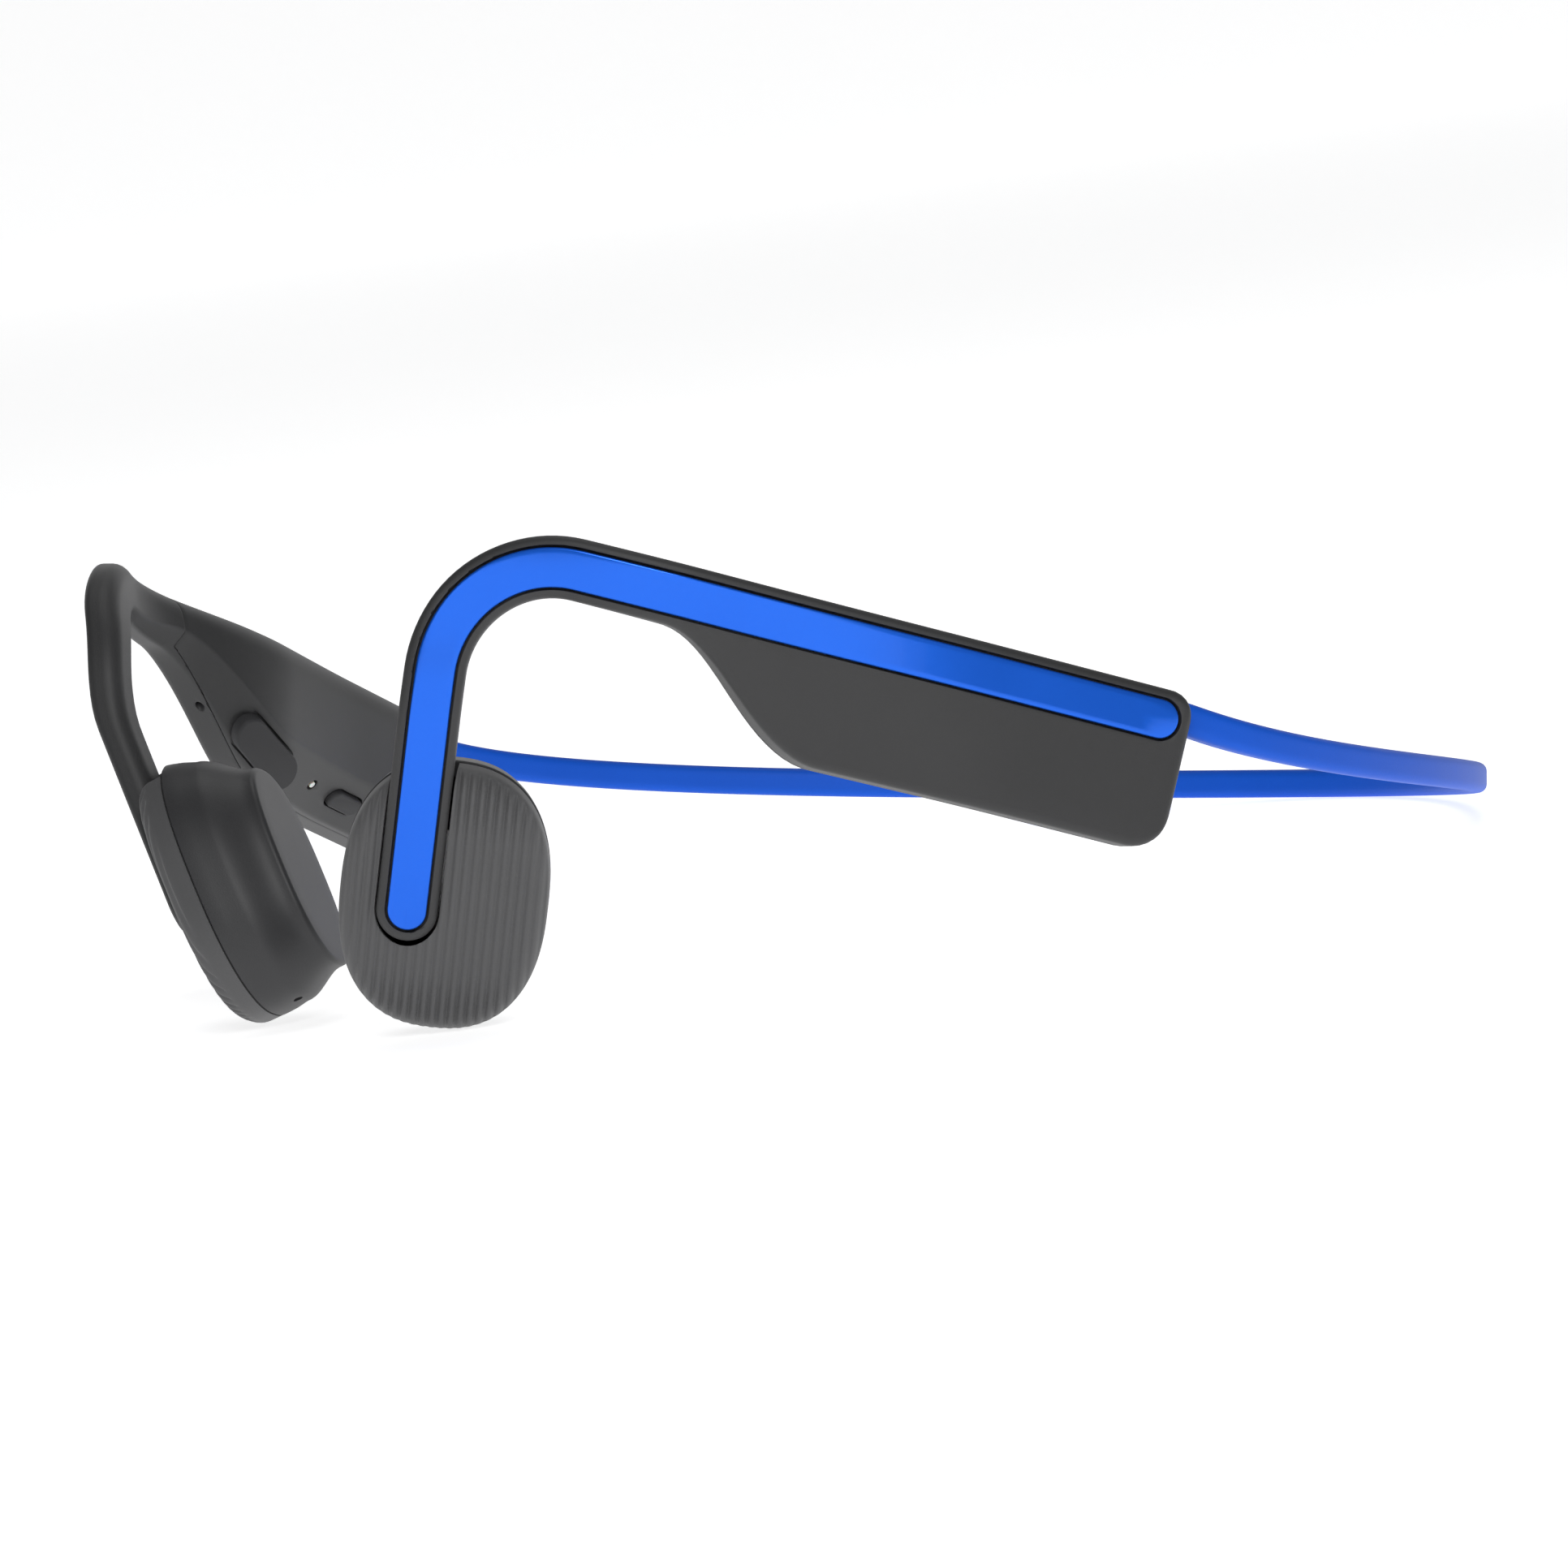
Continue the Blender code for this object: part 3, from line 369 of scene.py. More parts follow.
class Signal:
    """A shader socket that can be used in arithmetic; each operator adds a Math node."""

    def __init__(self, tree, socket):
        self.tree, self.socket = tree, socket

    def node(self, kind, settings=(), inputs=(), output=0):
        """Adds a node: its settings first, then its sockets' values or links."""
        made = self.tree.nodes.new("ShaderNode" + kind)
        for key, value in dict(settings).items():
            setattr(made, key, value)
        for key, value in dict(inputs).items():
            if isinstance(value, Signal):
                self.tree.links.new(value.socket, made.inputs[key])
            else:
                made.inputs[key].default_value = value
        return Signal(self.tree, made.outputs[output])

    def maths(self, operation, *values):
        return self.node("Math", {"operation": operation}, enumerate(values))

    def __add__(self, other):
        return self.maths("ADD", self, other)

    __radd__ = __add__

    def __sub__(self, other):
        return self.maths("SUBTRACT", self, other)

    def __rsub__(self, other):
        return self.maths("SUBTRACT", other, self)

    def __mul__(self, other):
        return self.maths("MULTIPLY", self, other)

    __rmul__ = __mul__


def mixed(signal, share, first, second):
    """A colour between two, by a share from 0 to 1."""
    return signal.node("Mix", {"data_type": "RGBA"}, {0: share, 6: first, 7: second}, 2)


def new_finish(name, **constants):
    """A material, its shader, and the piece's own coordinates in metres."""
    material = bpy.data.materials.new(name)
    material.use_nodes = True
    tree = material.node_tree
    shader = tree.nodes["Principled BSDF"]
    for key, value in constants.items():
        shader.inputs[key.replace("_", " ")].default_value = value
    place = tree.nodes.new("ShaderNodeTexCoord")
    return material, shader, Signal(tree, place.outputs["Object"])


def feed(shader, name, signal):
    signal.tree.links.new(signal.socket, shader.inputs[name])


def noise(place, scale, detail=3.0, roughness=0.6):
    return place.node("TexNoise", {}, {
        "Vector": place, "Scale": scale, "Detail": detail, "Roughness": roughness})


def tint(colour, share=1.0):
    return tuple(channel * share for channel in colour) + (1.0,)


def moulded(name, colour, roughness, grain, height, mottle=0.12, **constants):
    """A moulded finish: fine grain in the surface and slow changes in tone and gloss."""
    material, shader, place = new_finish(name, **constants)
    slow, fine = noise(place, 90.0), noise(place, grain, 4.0)
    tone = mixed(place, slow, tint(colour, 1 - mottle), tint(colour, 1 + mottle))
    feed(shader, "Base Color", mixed(place, fine * 0.35, tone, tint(colour, 0.72)))
    feed(shader, "Roughness", roughness - 0.05 + 0.06 * slow + 0.05 * fine)
    feed(shader, "Normal", place.node("Bump", {}, {
        "Strength": 0.35, "Distance": height, "Height": fine}))
    return material


SHELL = moulded("soft_touch_shell", (0.036, 0.036, 0.037), 0.50, 9000.0, 0.00004,
                Specular_IOR_Level=0.42)


def painted(piece, material):
    piece.data.materials.clear()
    piece.data.materials.append(material)


def dressed(piece, material, body, slot_name, *nodes):
    """Gives a finished piece its material and its body, and hides the CAD nodes it stands for."""
    painted(piece, material)
    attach(piece, body)
    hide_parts(*nodes)


BAND_RISE, BAND_INSET = 0.91, 4.0
beyond = REAR + HOUSING_RUN + 4.0
hollow_bar = cut(whole_bar(), hollow())
socket = slab("band_socket", (REAR + HOUSING_RUN - 3.4, BAND_RISE - 1.6, -BAND_INSET - 1.6),
              (beyond, BAND_RISE + 1.6, -BAND_INSET + 1.6))
cut(hollow_bar, socket)
outer_half = copied(hollow_bar, "outer_half")
below_seam = slab("below_seam", (REAR + COVER_START, -30, -30), (beyond, 30, -SEAM_DEPTH))
cut(outer_half, sliced(below_seam, REAR + COVER_START, beyond - 4))
channel = slot_block("channel", 0.0, REAR + STRIP_END, STRIP_WIDTH / 2 + CHANNEL_GAP,
                     -CHANNEL_DEPTH, 2.0)
cut(outer_half, sliced(channel, 0.0, REAR + STRIP_END))

MIC_AT, MIC_HOLE = 16.4, 0.9


def flat_on(middle, at, across, inward):
    """Places points (along, across, inward) on a flank of the bar about one station."""
    origin = middle(at)
    along = (middle(at + 1.0) - middle(at - 1.0)) / 2
    return lambda points: origin + np.asarray(points) @ np.array([along, across, inward])


def underside_middle(run):
    return np.array([REAR + run, -bar_size(REAR + run)[0], 1.0 - SEAM_DEPTH])


def round_tool(name, radius, low, high, place):
    """A round bar on a flank, from low to high inward, used to drill with."""
    bpy.ops.object.select_all(action="DESELECT")
    bpy.ops.mesh.primitive_cylinder_add(vertices=28, radius=radius, depth=high - low)
    tool = bpy.context.object
    tool.name = name
    set_points(tool, place(points_of(tool) + (0.0, 0.0, (low + high) / 2)))
    return tool


under = flat_on(underside_middle, MIC_AT, np.array([0.0, 0.0, -1.0]), np.array([0.0, 1.0, 0.0]))
for side_name, side in SIDES.items():
    shell = copied(outer_half, side_name + "_outer_housing")
    if side < 0:
        cut(shell, round_tool("mic_hole", MIC_HOLE / 2, -1.0, 2.2, under))
    eased(shell, 0.07)
    set_points(shell, on_hook(points_of(shell)))
    settled(shell, side)
    dressed(shell, SHELL, side_name + "_unit", "shell", side_name + "_outer_shell")
thrown_away(outer_half)

# ------------------------------------------------------------------ inner shells
# The inner half closes each housing towards the head, glued into the outer one along a fine
# parting line. The right one's bevel has the charging port, a light hole and two key holes.
BEVEL = math.hypot(BEVEL_DROP, BEVEL_DEPTH)
BEVEL_IN = np.array([0.0, BEVEL_DEPTH / BEVEL, BEVEL_DROP / BEVEL])
BEVEL_ACROSS = np.array([0.0, BEVEL_DROP / BEVEL, -BEVEL_DEPTH / BEVEL])
PORT_AT, PORT_LOWER, LIGHT_AT = 23.6, 0.2, 35.5
KEYS_AT = {"right_volume_up": 42.5, "right_volume_down": 50.0}
PORT_LENGTH, PORT_HEIGHT = 8.9, 3.1
COVER_LENGTH, COVER_HEIGHT, COVER_THICK = 10.6, 4.2, 0.6
KEY_LENGTH, KEY_HEIGHT = 5.6, 2.0
FIT = 0.22


def bevel_middle(run):
    drop, thick, (bevel_w, bevel_n), grow = bar_size(REAR + run)
    return np.array([REAR + run, bevel_w / 2 - drop, bevel_n / 2 - thick])


def on_bevel(at, lower=0.0):
    place = flat_on(bevel_middle, at, BEVEL_ACROSS, BEVEL_IN)
    return lambda points: place(np.asarray(points) - (0.0, lower, 0.0))


def oval(name, length, height, outside, inside, place, rim=0.0):
    """A block with round ends on a flank; its outer rim is rounded by rim."""
    half = height / 2
    piece = slot_block(name, half - length / 2, length / 2 - half, half, -inside, outside, rim)
    set_points(piece, place(points_of(piece) * (1.0, -1.0, -1.0)))
    return piece


inner_half = hollow_bar
above_seam = slab("inside_seam", (REAR + COVER_START + SEAM_GAP, -30, -30),
                  (beyond, 30, -SEAM_DEPTH - SEAM_GAP))
cut(inner_half, sliced(above_seam, REAR + COVER_START, beyond - 4), "INTERSECT")
port = on_bevel(PORT_AT, PORT_LOWER)
for side_name, side in SIDES.items():
    shell = copied(inner_half, side_name + "_inner_housing")
    if side < 0:
        cut(shell, oval("cover_seat", COVER_LENGTH + 2 * FIT, COVER_HEIGHT + 2 * FIT,
                        1.0, COVER_THICK + FIT, port))
        cut(shell, oval("port_hole", PORT_LENGTH + 2 * FIT, PORT_HEIGHT + 2 * FIT, 1.0, 2.6, port))
        for at in KEYS_AT.values():
            cut(shell, oval("key_hole", KEY_LENGTH + 2 * FIT, KEY_HEIGHT + 2 * FIT, 1.0, 2.6,
                            on_bevel(at)))
        cut(shell, round_tool("light_hole", 0.65, -1.0, 2.6, on_bevel(LIGHT_AT)))
    eased(shell, 0.07)
    set_points(shell, on_hook(points_of(shell)))
    settled(shell, side)
    dressed(shell, SHELL, side_name + "_unit", "shell", side_name + "_inner_shell")
thrown_away(inner_half)

# ------------------------------------------------------------------ trim strips
# A thin polycarbonate strip, mirror-coated blue under a clear coat, is taped into the outer
# shell's channel from the pod round the hook to the rear end. Its rim is softly rounded.
STRIP_THICK, STRIP_SINK, STRIP_RIM = 0.65, 0.05, 0.2


def glossy_blue():
    material, shader, place = new_finish(
        "coated_blue", Metallic=0.55, Specular_IOR_Level=0.2, Coat_Weight=0.5,
        Coat_Roughness=0.04, Coat_IOR=1.3)
    slow, fine = noise(place, 60.0, 2.0), noise(place, 2600.0, 2.0)
    tone = mixed(place, slow, (0.010, 0.125, 0.74, 1.0), (0.014, 0.145, 0.84, 1.0))
    feed(shader, "Base Color", mixed(place, fine * 0.2, tone, (0.02, 0.18, 0.92, 1.0)))
    feed(shader, "Roughness", 0.20 + 0.08 * slow)
    feed(shader, "Normal", place.node("Bump", {}, {
        "Strength": 0.12, "Distance": 0.00002, "Height": fine}))
    return material


GLOSS_BLUE = glossy_blue()
for side_name, side in SIDES.items():
    strip = slot_block(side_name + "_blue_strip", 0.0, REAR + STRIP_END, STRIP_WIDTH / 2,
                       -STRIP_SINK - STRIP_THICK, -STRIP_SINK, STRIP_RIM)
    sliced(strip, 0.0, REAR + STRIP_END, (-1.2, -0.6, 0.0, 0.6, 1.2))
    set_points(strip, on_hook(points_of(strip)))
    settled(strip, side)
    dressed(strip, GLOSS_BLUE, side_name + "_unit", "gloss_blue", side_name + "_trim_strip")

# ------------------------------------------------------------------ pods
# Each pod holds a transducer: a cup-shaped shell with a flat face for the cheekbone, closed
# outside by a ribbed cap that is fixed on the right and is the button on the left.
POD_WIDTH, POD_HEIGHT = 18.7, 25.8
POD_CENTRE, POD_TILT, POD_POWER = (3.45, -4.0), 7.0, 2.42
POD_FACE, POD_RIM, POD_BACK = 1.0, 4.1, 12.0
POD_TAPER, POD_SAG = 3.2, 1.1
RIB_PITCH, RIB_DEPTH, CAP_ROUND = 0.85, 0.34, 1.9
SKIRTS = {"left": 3.68, "right": 4.04}

heading, lean = math.radians(HEADING_FRONT), math.radians(LEAN)
forward = np.array([math.sin(heading), math.cos(heading), 0.0])
POD_Z = np.array([math.cos(heading) * math.cos(lean), -math.sin(heading) * math.cos(lean),
                  -math.sin(lean)])
upward = np.cross(POD_Z, forward)
upward = upward * np.sign(upward[2])
tilt = math.radians(POD_TILT)
POD_X = forward * math.cos(tilt) - upward * math.sin(tilt)
POD_Y = forward * math.sin(tilt) + upward * math.cos(tilt)
POD_ORIGIN = worn(np.array(POD_CENTRE[0]), np.array(0.0), np.array(0.0)) + upward * POD_CENTRE[1]


def on_pod(points):
    return POD_ORIGIN + np.asarray(points) @ np.array([POD_X, POD_Y, POD_Z])


def pod_ring(z, inset, around=120):
    """The pod's outline at one depth, drawn in by an inset; it sags towards the head."""
    a = 2 * np.pi * (np.arange(around) + 0.5) / around
    c, s = np.cos(a), np.sin(a)
    sag = POD_SAG * max(0.0, -POD_RIM - z) / (POD_BACK - POD_RIM)
    x = (POD_WIDTH / 2 - inset) * np.sign(c) * np.abs(c) ** (2 / POD_POWER)
    y = (POD_HEIGHT / 2 - inset) * np.sign(s) * np.abs(s) ** (2 / POD_POWER) - sag
    return np.stack([x, y, np.full(around, z)], axis=-1)


def leg_room(name, clearance):
    """The space that the hook's leg takes in the pod, in wearing position."""
    half = (EDGE_ABOVE + EDGE_BELOW) / 2 + clearance
    middle = (EDGE_ABOVE - EDGE_BELOW) / 2
    widths = [(-(half + 0.3) * math.sin(a), half * math.cos(a))
              for a in np.radians([86, 76, 66, 55, 44, 33, 22, 11, 0])]
    widths += [(s, half) for s in range(2, 19, 2)]
    tool = rolled(name, [[(s, middle + w, 4), (s, middle + w, -14), (s, middle - w, -14),
                          (s, middle - w, 4)] for s, w in widths])
    set_points(tool, on_hook(points_of(tool)))
    return tool


def ribbed_cap(name, skirt):
    """A sheet draped over the cap's face in fine columns along the ribs, then made solid."""
    bpy.ops.object.select_all(action="DESELECT")
    bpy.ops.mesh.primitive_grid_add(x_subdivisions=400, y_subdivisions=64, size=2.0)
    piece = bpy.context.object
    piece.name = name
    grid = points_of(piece)
    x = np.sin(grid[:, 0] * np.pi / 2)
    room = np.maximum(1.0 - np.abs(x) ** POD_POWER, 0.0) ** (1 / POD_POWER)
    y = np.sin(grid[:, 1] * np.pi / 2) * room
    reach = (np.abs(x) ** POD_POWER + np.abs(y) ** POD_POWER) ** (1 / POD_POWER)
    slope = np.hypot(np.abs(x) ** (POD_POWER - 1) / (POD_WIDTH / 2),
                     np.abs(y) ** (POD_POWER - 1) / (POD_HEIGHT / 2))
    slope = slope / np.maximum(reach, 1e-6) ** (POD_POWER - 1)
    edge = np.clip((1.0 - reach) / np.maximum(slope, 1e-6), 0.0, CAP_ROUND)
    z = -POD_FACE - CAP_ROUND + np.sqrt(np.maximum(CAP_ROUND ** 2 - (CAP_ROUND - edge) ** 2, 0))
    rib = 0.5 - 0.5 * np.cos(2 * np.pi * x * POD_WIDTH / 2 / RIB_PITCH)
    height = 0.5 + 0.5 * smooth((np.abs(y) - 0.45) / 0.4)
    z = z - RIB_DEPTH * rib ** 1.5 * height * smooth(edge / 0.35)
    set_points(piece, np.stack([x * POD_WIDTH / 2, y * POD_HEIGHT / 2, z], axis=-1))
    bpy.ops.object.mode_set(mode="EDIT")
    bpy.ops.mesh.select_all(action="SELECT")
    bpy.ops.mesh.remove_doubles(threshold=0.002)
    bpy.ops.mesh.select_all(action="DESELECT")
    bpy.ops.mesh.select_mode(type="EDGE")
    bpy.ops.mesh.select_non_manifold()
    bpy.ops.mesh.extrude_region_move(
        TRANSFORM_OT_translate={"value": (0, 0, POD_FACE + CAP_ROUND - skirt)})
    bpy.ops.mesh.edge_face_add()
    bpy.ops.mesh.select_all(action="SELECT")
    bpy.ops.mesh.normals_make_consistent(inside=False)
    bpy.ops.object.mode_set(mode="OBJECT")
    return cut(piece, rolled("cap_room", [pod_ring(-skirt - 1.0, 1.2),
                                          pod_ring(-POD_FACE - 1.4, 1.9)]))


def pod_cup(name, side):
    """The pod's shell from its rim back to the contact face, hollow and open at the rim."""
    depth = POD_BACK - POD_RIM
    rings = [pod_ring(-POD_BACK, inset) for inset in (POD_TAPER + 1.6, POD_TAPER)]
    for a in np.radians([15, 30, 45, 60, 75, 90]):
        rings.append(pod_ring(-POD_BACK + 0.5 * (1 - math.cos(a)),
                              POD_TAPER - 0.5 * math.sin(a)))
    for share in np.linspace(0.0, 1.0, 12)[1:]:
        z = -POD_BACK + 0.5 + (0.65 * depth - 0.5) * share
        rings.append(pod_ring(z, POD_TAPER - 0.5 - (POD_TAPER - 1.05) * float(smooth(share))))
    rings += [pod_ring(-POD_RIM - 0.2 * depth, 0.22), pod_ring(-POD_RIM - 0.6, 0.05),
              pod_ring(-POD_RIM - 0.15, 0.0), pod_ring(-POD_RIM, 0.12)]
    cup = rolled(name, rings)
    cut(cup, rolled("cup_room", [pod_ring(-POD_BACK + 1.2, POD_TAPER),
                                 pod_ring(-POD_RIM - 0.35 * depth, 1.9),
                                 pod_ring(-POD_RIM + 1.0, 1.3)]))
    if side < 0:
        place = flat_on(lambda at: np.array([at, -POD_HEIGHT / 2, -7.0]), -1.0,
                        np.array([0.0, 0.0, -1.0]), np.array([0.0, 1.0, 0.0]))
        cut(cup, round_tool("pod_mic_hole", MIC_HOLE / 2, -2.0, 3.0, place))
    return cup


POD_SHELL = moulded("pod_shell", (0.034, 0.034, 0.036), 0.46, 7000.0, 0.00003,
                    Specular_IOR_Level=0.45)
RIBBED = moulded("ribbed_rubber", (0.088, 0.088, 0.090), 0.56, 6000.0, 0.00004,
                 Specular_IOR_Level=0.38, Sheen_Weight=0.12)
for side_name, side in SIDES.items():
    cap = ribbed_cap(side_name + "_ribbed_cap", SKIRTS[side_name])
    set_points(cap, on_pod(points_of(cap)))
    cut(cap, leg_room("leg_room", 0.2))
    settled(cap, side)
    if side > 0:
        dressed(cap, RIBBED, "multifunction_button", "pod", "left_multifunction_button")
    else:
        dressed(cap, RIBBED, "right_unit", "pod", "right_pod_cap")
    cup = pod_cup(side_name + "_pod_cup", side)
    set_points(cup, on_pod(points_of(cup)))
    settled(cup, side)
    dressed(cup, POD_SHELL, side_name + "_unit", "pod", side_name + "_pod_shell")

# ------------------------------------------------------------------ volume keys, port cover
# Two rubber keys stand in the right housing's bevel over their switches. A rubber cover,
# hinged at its front end, closes the charging port; each is moulded with a softly domed top.
RUBBER = moulded("key_rubber", (0.030, 0.030, 0.032), 0.62, 8000.0, 0.00004,
                 Specular_IOR_Level=0.35)
for name, at in KEYS_AT.items():
    place = on_bevel(at)
    key = oval(name + "_key", KEY_LENGTH, KEY_HEIGHT, 0.5, 1.9, place, 0.3)
    cut(key, oval("flange", KEY_LENGTH + 1.0, KEY_HEIGHT + 0.9, -1.75, 2.3, place), "UNION")
    set_points(key, on_hook(points_of(key)))
    settled(key, -1.0)
    dressed(key, RUBBER, name[6:] + "_key", "rubber", name)
cover = oval("right_port_door", COVER_LENGTH, COVER_HEIGHT, 0.35, COVER_THICK, port, 0.28)
cut(cover, oval("plug", PORT_LENGTH - 1.5, PORT_HEIGHT - 1.5, -0.3, 1.9, port), "UNION")
set_points(cover, on_hook(points_of(cover)))
settled(cover, -1.0)
dressed(cover, RUBBER, "port_cover", "rubber", "right_port_cover")

# ------------------------------------------------------------------ neckband
# A blue silicone sleeve over a sprung titanium wire and the signal cable, one moulding from
# housing to housing. The wire and cable lie inside it, one over the other.
BAND_REACH, BAND_LEAD, BAND_BACK, BAND_LOW = 75.0, 18.0, 40.0, 9.0
BAND_HEIGHT, BAND_THICK, BAND_THICK_END = 2.9, 2.0, 2.9

start = on_hook((REAR + HOUSING_RUN, BAND_RISE, -BAND_INSET))
rear_heading = math.radians(HEADING_REAR)
lead = start[:2] + BAND_LEAD * np.array([math.sin(rear_heading), math.cos(rear_heading)])
corners = np.array([start[:2], lead, (BAND_BACK, BAND_REACH), (0.0, BAND_REACH)])
left_half = [on_hook((REAR + HOUSING_RUN - back, BAND_RISE, -BAND_INSET)) for back in (3.0, 0.6)]
from_end = [0.0, 1.0]
for t in np.linspace(0.0, 1.0, 85)[1:]:
    shares = np.array([(1 - t) ** 3, 3 * t * (1 - t) ** 2, 3 * t * t * (1 - t), t ** 3])
    height = BAND_LOW + (start[2] - BAND_LOW) * (1 - t) ** 4.3
    left_half.append(np.array([*(shares @ corners), height]))
    from_end.append(1.0 + 21.0 * t)
band_points = np.array(left_half + [p * (-1.0, 1.0, 1.0) for p in left_half[-2::-1]])
from_end = np.array(from_end + from_end[-2::-1])
band_half = (BAND_THICK + (BAND_THICK_END - BAND_THICK) * (1 - smooth(from_end / 6))) / 2
band_ahead = np.gradient(band_points, axis=0)
band_ahead /= np.linalg.norm(band_ahead, axis=1)[:, None]
band_out = np.cross(band_ahead, (0.0, 0.0, 1.0))
band_out /= np.linalg.norm(band_out, axis=1)[:, None]
band_up = np.cross(band_out, band_ahead)


def band_rings(half_outs, half_up, corner, lift=0.0):
    rings = []
    for k, half_out in enumerate(half_outs):
        outline = rounded_outline([(half_out, half_up, corner), (-half_out, half_up, corner),
                                   (-half_out, -half_up, corner), (half_out, -half_up, corner)],
                                  5, 4)
        rings.append([band_points[k] + x * band_out[k] + (z + lift) * band_up[k]
                      for x, z in outline])
    return rings


SILICONE = moulded("blue_silicone", (0.008, 0.105, 0.66), 0.46, 5000.0, 0.00003, 0.08,
                   Specular_IOR_Level=0.15)


def banded(piece, material, node):
    """Lays the piece on the table, gives it its material and hides the CAD node it stands for."""
    settled(piece)
    painted(piece, material)
    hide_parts(node)
    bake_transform(piece)


outside = band_rings(band_half, BAND_HEIGHT / 2, 0.8)
inside = band_rings(np.full(len(band_half), 0.62), BAND_HEIGHT / 2 - 0.35, 0.3)
sleeve = rolled("blue_neckband", outside + inside[::-1] + outside[:1])
banded(sleeve, SILICONE, "neckband_sleeve")


def wire_metal():
    material, shader, place = new_finish("sprung_titanium", Metallic=1.0)
    fine = noise(place, 4000.0)
    feed(shader, "Base Color", mixed(place, fine, tint((0.46, 0.45, 0.44)),
                                     tint((0.60, 0.59, 0.57))))
    feed(shader, "Roughness", 0.28 + 0.14 * noise(place, 700.0))
    return material


TITANIUM = wire_metal()
CABLE = moulded("cable_jacket", (0.022, 0.022, 0.023), 0.50, 4000.0, 0.00002)
wire = rolled("band_wire", band_rings(np.full(len(band_half), 0.3), 0.3, 0.28, 0.5))
banded(wire, TITANIUM, "neckband_wire")
cable = rolled("band_cable", band_rings(np.full(len(band_half), 0.24), 0.24, 0.22, -0.55))
banded(cable, CABLE, "neckband_cable")

# ------------------------------------------------------------------ working parts inside
# The motors, boards, battery, switches and microphones bought in and fitted before the shells
# are glued. Their bodies are the model's own; each gets the finish of the real part.


def given(material, *nodes):
    for name in nodes:
        painted(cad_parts[name], material)


def metal(name, dark, light, roughness, scale):
    """Bare or plated metal with fine scratches across it."""
    material, shader, place = new_finish(name, Metallic=1.0)
    drawn = place.node("Mapping", {}, {"Vector": place, "Scale": (1.0, 1.0, 9.0)})
    fine = noise(drawn, scale)
    feed(shader, "Base Color", mixed(place, fine, tint(dark), tint(light)))
    feed(shader, "Roughness", roughness - 0.06 + 0.14 * fine)
    feed(shader, "Normal", place.node("Bump", {}, {
        "Strength": 0.2, "Distance": 0.00002, "Height": fine}))
    return material


def copper_winding():
    """Enamelled wire wound in close turns round the pod's axis."""
    material, shader, place = new_finish("copper_winding", Metallic=0.9, Coat_Weight=0.6)
    turns = place.node("TexWave", {"wave_type": "BANDS", "bands_direction": "Z"}, {
        "Vector": place, "Scale": 2600.0, "Distortion": 0.2})
    feed(shader, "Base Color", mixed(place, turns, tint((0.42, 0.15, 0.06)),
                                     tint((0.80, 0.38, 0.18))))
    feed(shader, "Roughness", 0.34 - 0.1 * turns)
    feed(shader, "Normal", place.node("Bump", {}, {
        "Strength": 0.6, "Distance": 0.00005, "Height": turns}))
    return material


def circuit_board():
    """Green solder mask over traces, with tinned pads and small black chips."""
    material, shader, place = new_finish("circuit_board", Coat_Weight=0.4, Coat_Roughness=0.2)
    cells = place.node("TexVoronoi", {"distance": "CHEBYCHEV"}, {
        "Vector": place, "Scale": 700.0, "Randomness": 0.55})
    traces = place.node("TexBrick", {"offset": 0.5}, {
        "Vector": place, "Scale": 900.0, "Mortar Size": 0.06, "Color1": (0, 0, 0, 1),
        "Color2": (0, 0, 0, 1), "Mortar": (1, 1, 1, 1)})
    mask = mixed(place, traces * 0.6, (0.008, 0.085, 0.035, 1.0), (0.03, 0.20, 0.08, 1.0))
    pad = cells.maths("LESS_THAN", cells, 0.16)
    chip = cells.maths("GREATER_THAN", cells, 0.62)
    colour = mixed(place, pad, mask, (0.72, 0.70, 0.62, 1.0))
    feed(shader, "Base Color", mixed(place, chip, colour, (0.012, 0.012, 0.013, 1.0)))
    feed(shader, "Metallic", pad * 0.9)
    feed(shader, "Roughness", 0.42 - 0.12 * pad + 0.1 * chip)
    feed(shader, "Normal", place.node("Bump", {}, {
        "Strength": 0.5, "Distance": 0.0001, "Height": pad + chip}))
    return material


def foil_pouch():
    """The cell's crimped aluminium laminate, a little creased."""
    material, shader, place = new_finish("foil_pouch", Metallic=0.8)
    crease, fine = noise(place, 320.0, 2.0), noise(place, 3500.0)
    feed(shader, "Base Color", mixed(place, crease, tint((0.52, 0.54, 0.57)),
                                     tint((0.74, 0.76, 0.79))))
    feed(shader, "Roughness", 0.30 + 0.18 * fine)
    feed(shader, "Normal", place.node("Bump", {}, {
        "Strength": 0.5, "Distance": 0.0002, "Height": crease + 0.1 * fine}))
    return material


STEEL = metal("stamped_steel", (0.50, 0.50, 0.51), (0.68, 0.68, 0.69), 0.30, 2500.0)
for side_name in SIDES:
    given(STEEL, side_name + "_transducer_yoke", side_name + "_spring_plate")
MAGNET = metal("nickel_plate", (0.42, 0.43, 0.45), (0.60, 0.60, 0.61), 0.22, 5000.0)
given(MAGNET, "left_transducer_magnet", "right_transducer_magnet")
given(copper_winding(), "left_voice_coil", "right_voice_coil")
given(TITANIUM, "left_hook_wire", "right_hook_wire")
given(circuit_board(), "right_main_board", "left_charge_board", "left_dome_switch")
given(foil_pouch(), "left_battery")
TIN = metal("tinned_can", (0.55, 0.55, 0.54), (0.74, 0.74, 0.72), 0.36, 1800.0)
given(TIN, "right_shield_can", "right_microphone", "right_pod_microphone",
      "right_volume_up_switch", "right_volume_down_switch")
given(STEEL, "right_charging_port")
PIPE = moulded("milky_pipe", (0.72, 0.72, 0.70), 0.35, 3000.0, 0.00002, 0.05,
               Subsurface_Weight=0.4, Subsurface_Scale=0.001)
given(PIPE, "right_light_pipe")

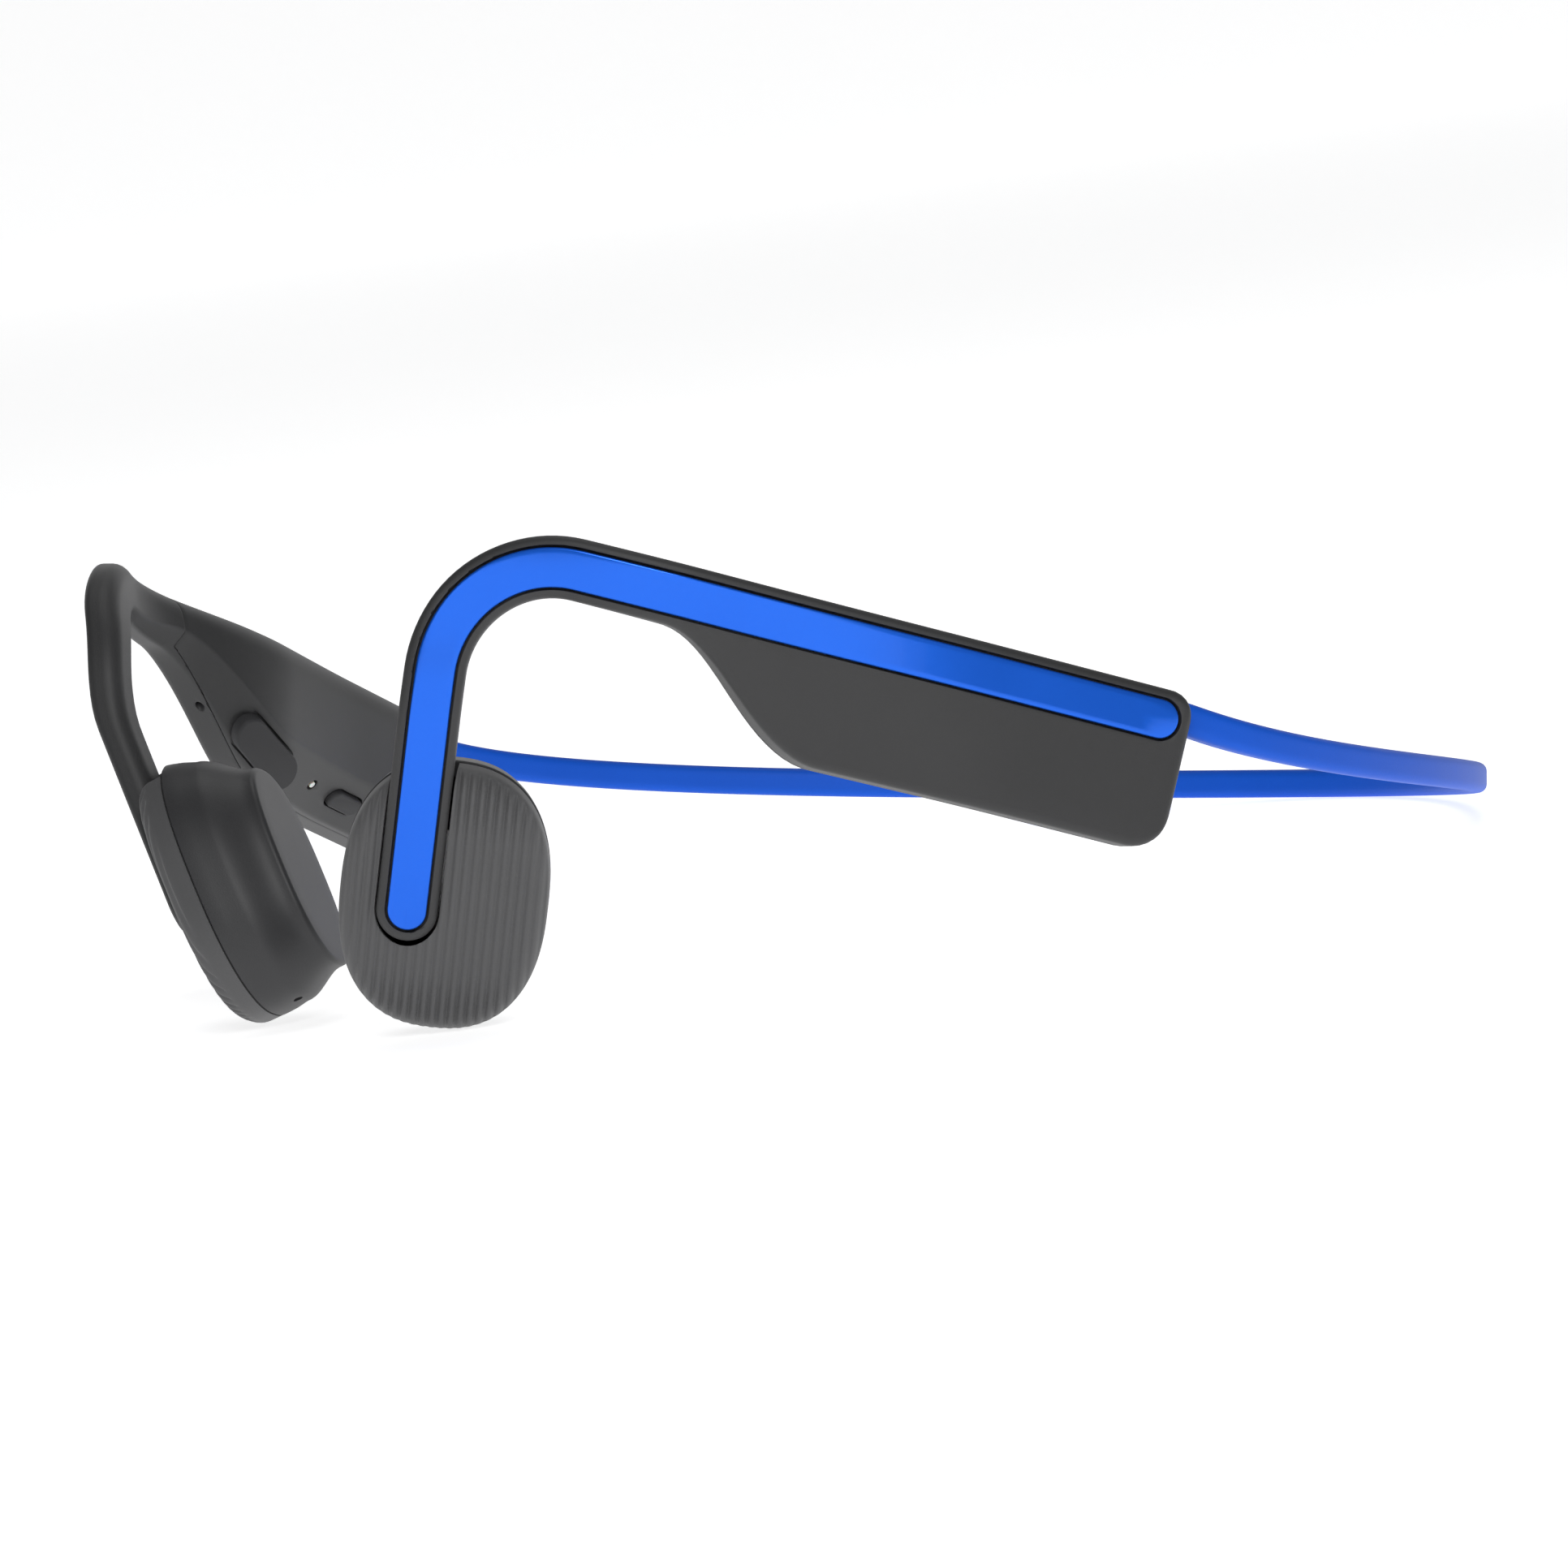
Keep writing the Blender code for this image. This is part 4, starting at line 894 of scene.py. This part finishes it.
# ------------------------------------------------------------------ table, light and camera
# A pale sweep of paper lies under the headphones and curves up far behind them. The light is
# soft, from one large lamp overhead and a smaller one at the near side.
CAMERA_HEADING, CAMERA_DISTANCE = math.radians(51.63), 672.9
FRAME_SIDE, LENS_REACH, FRAME_LIFT = 1932, 8600, 106
ahead = np.array([-math.sin(CAMERA_HEADING), math.cos(CAMERA_HEADING), 0.0])

bpy.ops.object.select_all(action="DESELECT")
bpy.ops.mesh.primitive_plane_add(size=24.0)
paper = bpy.context.object
paper.name = "paper"
bpy.ops.object.mode_set(mode="EDIT")
bpy.ops.mesh.select_mode(type="EDGE")
bpy.ops.mesh.select_all(action="DESELECT")
mesh = bmesh.from_edit_mesh(paper.data)
for edge in mesh.edges:
    edge.select = all(vert.co.y > 11.9 for vert in edge.verts)
bmesh.update_edit_mesh(paper.data)
bpy.ops.mesh.extrude_region_move(TRANSFORM_OT_translate={"value": (0, 0, 10.0)})
bpy.ops.mesh.select_all(action="DESELECT")
mesh = bmesh.from_edit_mesh(paper.data)
for edge in mesh.edges:
    edge.select = all(vert.co.y > 11.9 and vert.co.z < 0.1 for vert in edge.verts)
bmesh.update_edit_mesh(paper.data)
bpy.ops.mesh.bevel(offset=6.0, segments=32, affect="EDGES")
bpy.ops.object.mode_set(mode="OBJECT")
bpy.ops.object.shade_smooth()
paper.rotation_euler = (0, 0, CAMERA_HEADING)
WHITE, shader, place = new_finish("white_paper", Roughness=0.85, Emission_Strength=0.72)
shader.inputs["Emission Color"].default_value = (1.0, 1.0, 1.0, 1.0)
feed(shader, "Base Color", mixed(place, noise(place, 12.0), tint((0.90, 0.90, 0.90)),
                                 tint((0.93, 0.93, 0.93))))
paper.data.materials.append(WHITE)

world = bpy.data.worlds.new("studio")
bpy.context.scene.world = world
world.use_nodes = True
world.node_tree.nodes["Background"].inputs["Color"].default_value = (0.95, 0.97, 1.0, 1)
world.node_tree.nodes["Background"].inputs["Strength"].default_value = 0.10


def soft_light(name, place, size, power, toward=(0.0, 0.0, 0.02)):
    light = bpy.data.lights.new(name, "AREA")
    light.shape, light.size, light.energy = "DISK", size, power
    lamp = bpy.data.objects.new(name, light)
    lamp.location = place
    lamp.rotation_euler = (Vector(toward) - Vector(place)).to_track_quat("-Z", "Y").to_euler()
    bpy.context.scene.collection.objects.link(lamp)


soft_light("overhead", (-0.1, 0.3, 1.3), 1.0, 3.5)
soft_light("near side", (0.75, -0.45, 0.45), 0.5, 3.5)

eye = Vector(on_table(-CAMERA_DISTANCE * ahead))
facing = Matrix.Rotation(CAMERA_HEADING, 4, "Z") @ Matrix.Rotation(math.radians(90), 4, "X")
lens = bpy.data.cameras.new("camera")
lens.sensor_width = 36.0
lens.lens = LENS_REACH / FRAME_SIDE * lens.sensor_width
lens.shift_y = FRAME_LIFT / FRAME_SIDE
camera = bpy.data.objects.new("camera", lens)
camera.matrix_world = Matrix.Translation(eye) @ Matrix.Rotation(REST_TILT, 4, "X") @ facing
bpy.context.scene.collection.objects.link(camera)
bpy.context.scene.camera = camera
bpy.context.scene.view_settings.view_transform = "Standard"
